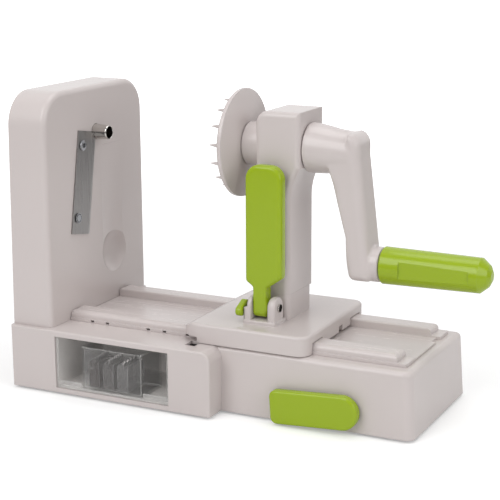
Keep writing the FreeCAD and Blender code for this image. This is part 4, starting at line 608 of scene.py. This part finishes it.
def screw(mesh, seat, towards, length, half, depth, radius, height, shank, style="pan"):
    """A screw with a cross recess; towards is the way its head faces, from its seat."""
    piece = bmesh.new()
    if style == "pan":
        shoulder = [(0.0, radius), (0.3 * height, radius), (0.68 * height, 0.9 * radius),
                    (0.92 * height, 0.72 * radius), (height, 0.58 * radius)]
    else:
        shoulder = [(0.0, radius), (0.12 * height, radius), (0.12 * height, 0.8 * radius),
                    (0.9 * height, 0.8 * radius), (height, 0.7 * radius)]
    profile = [(-length, 0.0), (-length, 0.7 * shank), (-length + 0.6, shank), (0.0, shank)]
    turned(piece, profile + shoulder, steps=24)
    bmesh.ops.rotate(piece, verts=piece.verts, cent=(0, 0, 0),
                     matrix=Matrix.Rotation(math.radians(-90), 3, "Y"))
    ring = [edge for edge in piece.edges if len(edge.link_faces) == 1]
    recess_in(piece, ring, half, depth, height / 1000)
    turn = Vector((0, 0, 1)).rotation_difference(Vector(towards)).to_matrix().to_4x4()
    bmesh.ops.transform(piece, verts=piece.verts, matrix=Matrix.Translation(mm(*seat)) @ turn)
    pour(mesh, piece)


def finish_piece(name, mesh, material, body, replaced=(), smooth_angle=35, inside=None):
    """Turn a bmesh into an object at the origin that rides a body."""
    bmesh.ops.remove_doubles(mesh, verts=mesh.verts, dist=1e-7)
    bmesh.ops.recalc_face_normals(mesh, faces=mesh.faces)
    in_order(mesh)
    limit = math.radians(smooth_angle)
    for face in mesh.faces:
        face.smooth = True
    for edge in mesh.edges:
        if len(edge.link_faces) == 2:
            edge.smooth = edge.calc_face_angle(0.0) < limit
    data = bpy.data.meshes.new(name)
    mesh.to_mesh(data)
    mesh.free()
    data.materials.append(material)
    if inside:
        data.materials.append(inside)
    piece = bpy.data.objects.new(name, data)
    bpy.context.scene.collection.objects.link(piece)
    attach(piece, body)
    if replaced:
        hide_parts(*replaced)
    return piece


# ---------------------------------------------------------------------------
# Operators
# ---------------------------------------------------------------------------

class SPIRALIZER_OT_shader_groups(bpy.types.Operator):
    """Make the shader groups that the materials share"""
    bl_idname = "spiralizer.shader_groups"
    bl_label = "Shader groups"

    def execute(self, context):
        make_moulded_skin()
        make_edge_wear_and_glint()
        make_slide_marks()
        make_drawn_steel()
        return {"FINISHED"}


class SPIRALIZER_OT_body_finish(bpy.types.Operator):
    """Satin light plastic of the base, tower, carriage, column and crank"""
    bl_idname = "spiralizer.body_finish"
    bl_label = "Body plastic"

    def execute(self, context):
        values = context.scene.spiralizer.plastics
        body = moulded("satin_body", values.body, values.body_roughness, radius=values.edge)
        rails = moulded("rubbed_body", values.body, values.body_roughness, radius=values.edge,
                        slides=True)
        lining = moulded("plain_lining", values.lining, 0.45, mottle=0.08)
        bearing = moulded("smooth_bearing", values.bearing, 0.4)
        dress(BODY_NODES, body)
        dress(RAIL_NODES, rails)
        dress(LINING_NODES, lining)
        dress(("drawer_sleeve",), moulded("white_sleeve", values.sleeve, 0.4))
        dress(BEARING_NODES, bearing)
        return {"FINISHED"}


class SPIRALIZER_OT_green_finish(bpy.types.Operator):
    """Glossy green plastic of the levers, the pawl and the grip"""
    bl_idname = "spiralizer.green_finish"
    bl_label = "Green plastic"

    def execute(self, context):
        values = context.scene.spiralizer.plastics
        green = moulded("gloss_green", values.green, values.green_roughness, mottle=0.06,
                        grain=0.35, wear=0.4, radius=values.edge)
        dress(GREEN_NODES, green)
        return {"FINISHED"}


class SPIRALIZER_OT_drawer_finish(bpy.types.Operator):
    """Clear drawer and blade box with the smoky holders and steel teeth of the spare blades"""
    bl_idname = "spiralizer.drawer_finish"
    bl_label = "Drawer and spare blades"

    def execute(self, context):
        plastics = context.scene.spiralizer.plastics
        metals = context.scene.spiralizer.metals
        for node, veil in CLEAR_NODES.items():
            dress((node,), clear_moulded("clear_" + node, plastics.clear, veil))
        for node, veil in HOLDER_NODES.items():
            smoke = lighter(plastics.holder, SMOKE_LIFT * (1.0 - veil))
            # The smoky holders also get the painted white highlight along their edges.
            dress((node,), clear_moulded("smoky_" + node, smoke, veil))
        dress(TEETH_NODES, steel("tooth_edge", metals.blade, 0.25, 0.2, (60.0, 900.0, 900.0)))
        return {"FINISHED"}


class SPIRALIZER_OT_steel_finish(bpy.types.Operator):
    """Ground blade, polished tube, shaft and pins, and plated screws"""
    bl_idname = "spiralizer.steel_finish"
    bl_label = "Steel"

    def execute(self, context):
        values = context.scene.spiralizer.metals
        blade = steel("ground_blade", values.blade, values.blade_roughness, 0.35,
                      (900.0, 900.0, 25.0))
        shiny = steel("polished", values.shiny, values.shiny_roughness, 0.05,
                      (25.0, 900.0, 900.0))
        steel("plated", values.screw, 0.28, 0.15, (700.0, 700.0, 700.0))
        # Painted shade for the insides of bores, recesses and grooves.
        steel("bore_painted_shade", values.bore, 0.4, 0.2, (300.0, 300.0, 300.0))
        dress(("straight_blade",), blade)
        dress(SHINY_NODES, shiny)
        return {"FINISHED"}


class SPIRALIZER_OT_rubber_finish(bpy.types.Operator):
    """Dull rubber of the feet and the suction cup"""
    bl_idname = "spiralizer.rubber_finish"
    bl_label = "Rubber"

    def execute(self, context):
        values = context.scene.spiralizer.plastics
        dress(("rubber_feet",), moulded("dull_foot", values.foot, 0.75, mottle=0.15,
                                        grain=0.9, wear=0.3, bump=0.00006))
        dress(("suction_cup",), moulded("pale_cup", values.cup, 0.42, mottle=0.1,
                                        grain=0.3, wear=0.2))
        return {"FINISHED"}


class SPIRALIZER_OT_coring_tube(bpy.types.Operator):
    """Polished coring tube with a ground rim and painted shade in its bore"""
    bl_idname = "spiralizer.coring_tube"
    bl_label = "Coring tube"

    def execute(self, context):
        flange, root, tip, length, rim = 5.5, 6.2, 5.45, 10.6, 12.4
        mesh = bmesh.new()
        turned(mesh, [(-flange, 5.6), (-flange, 8.5), (-4.1, 8.5), (-4.1, root), (0.0, root),
                      (length, tip), (11.2, 5.5), (11.9, 5.4), (rim, 5.12), (rim, 4.95),
                      (12.1, 4.75), (0.0, 5.55), (-flange, 5.6)], steps=64)
        # Painted shade on the faces inside the bore.
        paint_recess_shade(mesh, lambda along, radius: along < rim - 0.2 and radius < (
            root - (root - tip) * max(0.0, along) / length - 0.3))
        bmesh.ops.translate(mesh, verts=mesh.verts,
                            vec=mm(low_end("corer_tube") + flange, 0, AXIS_HEIGHT))
        finish_piece("coring_tube", mesh, bpy.data.materials["polished"], "base",
                     ("corer_tube",), inside=bpy.data.materials["bore_painted_shade"])
        return {"FINISHED"}


class SPIRALIZER_OT_screws(bpy.types.Operator):
    """Cross recess screws of the base, tower, column, blade and disk"""
    bl_idname = "spiralizer.screws"
    bl_label = "Screws"

    def execute(self, context):
        values = context.scene.spiralizer.pieces
        half, depth = values.screw_recess, values.recess_depth
        metal = bpy.data.materials["plated"]
        dark = bpy.data.materials["bore_painted_shade"]
        head = SMALL_SCREW["height"]
        mesh = bmesh.new()
        for low, _, (x, y, _) in solids_of("base_screws"):
            screw(mesh, (x, y, low[2] + head), (0, 0, -1), 9.8, half, depth, **SMALL_SCREW)
        finish_piece("base_plate_screws", mesh, metal, "base", ("base_screws",))
        mesh = bmesh.new()
        for _, high, (x, y, _) in solids_of("tower_screws"):
            screw(mesh, (x, y, high[2] - head), (0, 0, 1), 5.4, half, depth, **SMALL_SCREW)
        finish_piece("tower_floor_screws", mesh, metal, "base", ("tower_screws",))
        mesh = bmesh.new()
        for _, high, (x, _, z) in solids_of("column_screws"):
            screw(mesh, (x, high[1] - head, z), (0, 1, 0), 2.4, half, depth, **SMALL_SCREW)
        finish_piece("cover_screws", mesh, metal, "carriage", ("column_screws",))
        mesh = bmesh.new()
        screw(mesh, (low_end("disk_screw"), 0, AXIS_HEIGHT), (-1, 0, 0), 1.0, half * 1.7, depth,
              radius=5.5, height=1.9, shank=3.0, style="washer")
        finish_piece("hub_screw", mesh, metal, "crank", ("disk_screw",))
        lower, upper = (middle[1:] for _, _, middle in solids_of("blade_screws"))
        mesh = bmesh.new()
        screw(mesh, (BLADE_SEAT, *upper), (1, 0, 0), 5.0, half, depth, radius=4.1,
              height=1.1, shank=2.0)
        finish_piece("blade_screw_upper", mesh, metal, "base", ("blade_screws",))
        mesh = bmesh.new()
        turned(mesh, [(-5.2, 0.0), (-5.2, 2.0), (0.0, 2.0), (0.0, 3.9), (0.75, 3.9), (0.75, 3.3),
                      (0.35, 3.2), (0.35, 2.9), (0.8, 2.75), (0.8, 0.0)])
        # Painted shade in the groove of the head.
        paint_recess_shade(mesh, lambda along, radius: along > 0.1 and 2.76 < radius < 3.4)
        bmesh.ops.translate(mesh, verts=mesh.verts, vec=mm(BLADE_SEAT, *lower))
        finish_piece("blade_screw_lower", mesh, metal, "base", ("blade_screws",),
                     inside=dark)
        return {"FINISHED"}


class SPIRALIZER_OT_push_lever(bpy.types.Operator):
    """Push lever with soft edges, its hinge pin and the lock pawl"""
    bl_idname = "spiralizer.push_lever"
    bl_label = "Push lever"

    def execute(self, context):
        values = context.scene.spiralizer.pieces
        green = bpy.data.materials["gloss_green"]
        mesh = shell_copy("push_lever")
        beyond, below = mm(*LEVER_FOOT)
        wide = [v for v in mesh.verts if v.co.x > beyond and v.co.z < below]
        bmesh.ops.translate(mesh, verts=wide, vec=(-values.ear_growth, 0, 0))
        soft = soften(mesh, values.squares * 0.85, values.lever_rounds)
        finish_piece("push_lever_soft", soft, green, "lever", ("push_lever",),
                     smooth_angle=60)

        mesh = bmesh.new()
        turned(mesh, [(17.1, 0.0), (17.1, 1.5), (17.5, 1.95), (46.85, 1.95), (46.85, 3.2),
                      (47.8, 3.2), (48.0, 3.05), (48.0, 2.85), (47.1, 2.7), (47.1, 0.0)])
        # Painted shade in the recess of the pin's head.
        paint_recess_shade(mesh, lambda along, radius: along > 47.05 and radius < 2.84)
        bmesh.ops.translate(mesh, verts=mesh.verts, vec=mm(0, *PIN))
        finish_piece("hinge_pin", mesh, bpy.data.materials["polished"], "lever",
                     ("lever_pin",), inside=bpy.data.materials["bore_painted_shade"])

        mesh = bmesh.new()
        middle, thick, reach, down = 18.9, 5.0, 8.3, math.radians(25)
        heel = (middle, PIN[0], PIN[1] + 0.6)
        toe = (middle, PIN[0] - reach * math.cos(down), PIN[1] - reach * math.sin(down))
        for spot, radius in ((heel, 2.9), (toe, 3.6)):
            bmesh.ops.create_cone(
                mesh, cap_ends=True, segments=32, radius1=radius / 1000, radius2=radius / 1000,
                depth=thick / 1000,
                matrix=Matrix.Translation(mm(*spot)) @ Matrix.Rotation(math.tau / 4, 4, "Y"))
        hull = bmesh.ops.convex_hull(mesh, input=mesh.verts, use_existing_faces=False)
        spare = dict.fromkeys(item for item in hull["geom_interior"] + hull["geom_unused"]
                              if isinstance(item, bmesh.types.BMVert))
        bmesh.ops.delete(mesh, geom=list(spare), context="VERTS")
        flat_faces(mesh)
        round_edges(mesh, sharp_edges(mesh, 60), 0.0009)
        finish_piece("lock_pawl_soft", mesh, green, "lever", ("lock_pawl",))
        return {"FINISHED"}


class SPIRALIZER_OT_carriage_block(bpy.types.Operator):
    """Carriage with rounded ears for the push lever on a low plinth"""
    bl_idname = "spiralizer.carriage_block"
    bl_label = "Carriage"

    def on_side(self, vert, side):
        """Whether a vertex lies on an ear's side face at a place along X."""
        front, back, top = mm(*EAR_ENDS, CARRIAGE_TOP)
        return (abs(vert.co.x - side) < NEAR and front < vert.co.y < back
                and vert.co.z > top - 0.0001)

    def outline(self, mesh, side):
        """Edges round an ear's side face, without its foot and the pin's hole."""
        pin = Vector(mm(side * 1000, *PIN))
        above, = mm(CARRIAGE_TOP + 1.2)
        return [edge for edge in sharp_edges(mesh, 40)
                if all(self.on_side(v, side) and (v.co - pin).length > 0.004 for v in edge.verts)
                and any(v.co.z > above for v in edge.verts)]

    def execute(self, context):
        values = context.scene.spiralizer.pieces
        top, = mm(CARRIAGE_TOP)
        left_out, left_in, right_in, right_out = mm(*EAR_SIDES)
        mesh = shell_copy("carriage_body")
        thin = [v for v in mesh.verts if abs(v.co.x - left_out) < NEAR and v.co.z > top + 0.0009]
        bmesh.ops.translate(mesh, verts=thin, vec=(values.ear_trim, 0, 0))
        thick = [v for v in mesh.verts if self.on_side(v, right_in)]
        bmesh.ops.translate(mesh, verts=thick, vec=(-values.ear_growth, 0, 0))
        flat_faces(mesh)
        for side, width in ((left_out + values.ear_trim, values.ear_slope * 0.55),
                            (left_in, 0.0006), (right_in - values.ear_growth, values.ear_slope),
                            (right_out, values.ear_edge)):
            round_edges(mesh, self.outline(mesh, side), width, segments=6)
        # The plinth starts inside the block.
        plinth = bmesh.new()
        block(plinth, (21.8, -40.0, 63.0), (47.6, -20.9, CARRIAGE_TOP + values.plinth * 1000))
        round_edges(plinth, [edge for edge in plinth.edges
                             if any(v.co.z > top for v in edge.verts)], 0.0009)
        pour(mesh, plinth)
        # This closes the slot that the CAD pawl needs beside the left ear.
        filler = bmesh.new()
        block(filler, (16.61, -44.76, 62.2), (21.99, -17.3, CARRIAGE_TOP - 0.005))
        pour(mesh, filler)
        finish_piece("carriage_block", mesh, bpy.data.materials["satin_body"], "carriage",
                     ("carriage_body",))
        return {"FINISHED"}


class SPIRALIZER_OT_crank_arm(bpy.types.Operator):
    """Crank arm whose round hub runs softly into the flat arm"""
    bl_idname = "spiralizer.crank_arm"
    bl_label = "Crank arm"

    def execute(self, context):
        values = context.scene.spiralizer.pieces
        # The lower arm keeps what is below the hub, and the elbow what is beyond it.
        lower_arm = shell_copy("crank_arm")
        flat_faces(lower_arm)
        cut_away(lower_arm, (0, 0, AXIS_HEIGHT - 8), (0, 0, 1), inner=False)
        cut_away(lower_arm, (78.0, 0, 176.0), (0.963, 0, 0.271))
        start = values.arm_start * 1000
        elbow = shell_copy("crank_arm")
        flat_faces(elbow)
        cut_away(elbow, (start, 0, 0), (1, 0, 0))
        cut_away(elbow, (start, 0, AXIS_HEIGHT + 13.4), (0.12, 0, 1), inner=False)
        # The hub gets slimmer towards its end, and its bore stops where the shaft does.
        bore, bottom, end = 3.5, 26.4, 37.4
        hub = bmesh.new()
        turned(hub, [(0.0, bore), (0.0, 18.45), (3.0, 18.3), (8.0, 18.0), (14.0, 17.3),
                     (21.5, 16.15), (30.0, 15.6), (34.5, 15.4), (36.4, 14.6), (end, 13.0),
                     (end, 0.0), (bottom, 0.0), (bottom, bore), (0.0, bore)])
        lean = Matrix.Identity(4)
        lean[2][0] = -0.063
        bmesh.ops.transform(hub, verts=hub.verts,
                            matrix=Matrix.Translation(
                                mm(low_end("crank_arm"), 0, AXIS_HEIGHT)) @ lean)
        mesh = lower_arm
        pour(mesh, elbow)
        pour(mesh, hub)
        soft = soften(mesh, values.squares, values.crank_rounds)
        finish_piece("crank_arm_soft", soft, bpy.data.materials["satin_body"], "crank",
                     ("crank_arm",), smooth_angle=60)
        return {"FINISHED"}


class SPIRALIZER_OT_clear_drawer(bpy.types.Operator):
    """Clear drawer and blade box with rounded edges, on which their material paints a highlight"""
    bl_idname = "spiralizer.clear_drawer"
    bl_label = "Clear drawer"

    def execute(self, context):
        width = context.scene.spiralizer.pieces.clear_edge
        for node in CLEAR_NODES:
            mesh = shell_copy(node)
            flat_faces(mesh)
            round_edges(mesh, sharp_edges(mesh, 50), width, segments=2)
            finish_piece(node + "_rounded", mesh, bpy.data.materials["clear_" + node], "drawer",
                         (node,))
        return {"FINISHED"}


class SPIRALIZER_OT_stage(bpy.types.Operator):
    """Pale floor, soft lamps, white room and the camera"""
    bl_idname = "spiralizer.stage"
    bl_label = "Stage"

    def seen_rays(self, tree):
        """1 for rays that show the stage itself: to the camera, in gloss and through glass."""
        path = place(tree, "LightPath").outputs
        gloss = maths(tree, "MULTIPLY", path["Is Glossy Ray"], 0.15)
        return maths(tree, "MAXIMUM", path["Is Camera Ray"],
                     maths(tree, "MAXIMUM", gloss, path["Is Transmission Ray"]))

    def add_floor(self, scene, values):
        """A large pale floor that keeps the shadow and turns white far away."""
        mesh = bmesh.new()
        bmesh.ops.create_grid(mesh, x_segments=1, y_segments=1, size=9.0)
        data = bpy.data.meshes.new("floor")
        mesh.to_mesh(data)
        mesh.free()
        floor = bpy.data.objects.new("floor", data)
        scene.collection.objects.link(floor)
        material, tree, shader = new_material("floor_white")
        tree.nodes.remove(shader)
        seen = self.seen_rays(tree)
        spot = place(tree, "TexCoord").outputs["Object"]
        away = place(tree, "VectorMath", {0: spot}, operation="LENGTH").outputs["Value"]
        far = place(tree, "MapRange", {"Value": away, "From Min": 0.75, "From Max": 1.12},
                    interpolation_type="SMOOTHSTEP").outputs[0]
        mirrored = place(tree, "LightPath").outputs["Is Glossy Ray"]
        tone = place(tree, "Mix", {0: maths(tree, "MULTIPLY", far, mirrored),
                                   6: opaque(values.floor), 7: opaque(values.far_floor)},
                     data_type="RGBA")
        matt = place(tree, "BsdfDiffuse", {"Color": tone.outputs[2]})
        white = place(tree, "MapRange", {
            "Value": away, "From Min": 0.25, "From Max": 1.6, "To Min": values.floor_lift,
            "To Max": 1.0}, interpolation_type="SMOOTHSTEP").outputs[0]
        lift = place(tree, "Emission", {
            "Color": (1, 1, 1, 1), "Strength": maths(tree, "MULTIPLY", seen, white)})
        both = place(tree, "AddShader", {0: matt.outputs[0], 1: lift.outputs[0]})
        tree.links.new(both.outputs[0], tree.nodes["Material Output"].inputs["Surface"])
        data.materials.append(material)

    def add_room(self, scene, values):
        """Even light from all round; gloss sees one side of the room darker."""
        world = bpy.data.worlds.new("white_room")
        scene.world = world
        world.use_nodes = True
        tree = world.node_tree
        back = tree.nodes["Background"]
        path = place(tree, "LightPath").outputs
        toward = place(tree, "TexCoord").outputs["Generated"]
        behind = place(tree, "VectorMath", {0: toward, 1: (-0.6, 0.8, 0.0)},
                       operation="DOT_PRODUCT").outputs["Value"]
        mirrored = place(tree, "MapRange", {
            "Value": behind, "From Min": -0.4, "From Max": 0.7, "To Min": values.dark_side,
            "To Max": 1.0}, interpolation_type="SMOOTHSTEP").outputs[0]
        plain = maths(tree, "MAXIMUM", path["Is Camera Ray"], path["Is Transmission Ray"])
        lit = place(tree, "Mix", {0: path["Is Glossy Ray"], 2: values.room, 3: mirrored},
                    data_type="FLOAT").outputs[0]
        both = place(tree, "Mix", {0: plain, 2: lit, 3: 1.0}, data_type="FLOAT").outputs[0]
        back.inputs["Color"].default_value = (1, 1, 1, 1)
        tree.links.new(both, back.inputs["Strength"])

    def add_lamps(self, scene, values):
        """Three large soft lamps that point at the part."""
        lamps = (("key_lamp", (-0.5, -1.5, 1.35), 1.3, values.key_power),
                 ("top_lamp", (0.15, 0.25, 1.7), 1.2, values.top_power),
                 ("side_lamp", (1.7, -0.5, 0.8), 1.1, values.side_power))
        for name, spot, size, power in lamps:
            light = bpy.data.lights.new(name, "AREA")
            light.shape = "SQUARE"
            light.size = size
            light.energy = power
            lamp = bpy.data.objects.new(name, light)
            lamp.location = spot
            aim = Vector((0.0, 0.0, 0.1)) - Vector(spot)
            lamp.rotation_euler = aim.to_track_quat("-Z", "Y").to_euler()
            scene.collection.objects.link(lamp)

    def add_camera(self, scene, values):
        """The camera, turned by its azimuth, pitch and roll."""
        azimuth, pitch = values.camera_azimuth, values.camera_pitch
        ahead = Vector((-math.sin(azimuth) * math.cos(pitch), math.cos(azimuth) * math.cos(pitch),
                        -math.sin(pitch)))
        side = Vector((math.cos(azimuth), math.sin(azimuth), 0.0))
        up = side.cross(ahead)
        turn = Matrix((side, up, -ahead)).transposed() @ Matrix.Rotation(values.camera_roll, 3, "Z")
        camera = bpy.data.objects.new("camera", bpy.data.cameras.new("camera"))
        camera.data.lens = values.lens
        camera.data.sensor_width = 36.0
        camera.data.clip_end = 50.0
        camera.location = values.camera_place
        camera.rotation_euler = turn.to_euler()
        scene.collection.objects.link(camera)
        scene.camera = camera

    def execute(self, context):
        scene = context.scene
        scene.view_settings.view_transform = "Standard"
        for step in (self.add_floor, self.add_room, self.add_lamps, self.add_camera):
            step(scene, scene.spiralizer.stage)
        return {"FINISHED"}


class SPIRALIZER_PT_panel(bpy.types.Panel):
    """Steps of the spiralizer in the order in which they run"""
    bl_idname = "SPIRALIZER_PT_panel"
    bl_label = "Spiralizer"
    bl_space_type = "VIEW_3D"
    bl_region_type = "UI"
    bl_category = "Spiralizer"

    def draw(self, context):
        """Every property by group, then a button for each step."""
        settings = context.scene.spiralizer
        for title, group in (("Plastics", settings.plastics), ("Metals", settings.metals),
                             ("Pieces", settings.pieces), ("Stage", settings.stage)):
            box = self.layout.box()
            box.label(text=title)
            for name in group.__annotations__:
                box.prop(group, name)
        for step in STEPS:
            self.layout.operator(step.bl_idname)


STEPS = (
    SPIRALIZER_OT_shader_groups,
    SPIRALIZER_OT_body_finish,
    SPIRALIZER_OT_green_finish,
    SPIRALIZER_OT_drawer_finish,
    SPIRALIZER_OT_steel_finish,
    SPIRALIZER_OT_rubber_finish,
    SPIRALIZER_OT_coring_tube,
    SPIRALIZER_OT_screws,
    SPIRALIZER_OT_push_lever,
    SPIRALIZER_OT_carriage_block,
    SPIRALIZER_OT_crank_arm,
    SPIRALIZER_OT_clear_drawer,
    SPIRALIZER_OT_stage,
)
CLASSES = (SpiralizerPlastics, SpiralizerMetals, SpiralizerPieces, SpiralizerStage,
           SpiralizerSettings) + STEPS + (SPIRALIZER_PT_panel,)


def register():
    """Make the properties, the operators and the panel known to Blender."""
    for item in CLASSES:
        bpy.utils.register_class(item)
    bpy.types.Scene.spiralizer = PointerProperty(type=SpiralizerSettings)


def unregister():
    """Take them back in the reverse order."""
    del bpy.types.Scene.spiralizer
    for item in reversed(CLASSES):
        bpy.utils.unregister_class(item)


def main():
    """Register and run every step in order."""
    register()
    for step in STEPS:
        group, name = step.bl_idname.split(".")
        getattr(getattr(bpy.ops, group), name)()


if __name__ == "__main__":
    main()
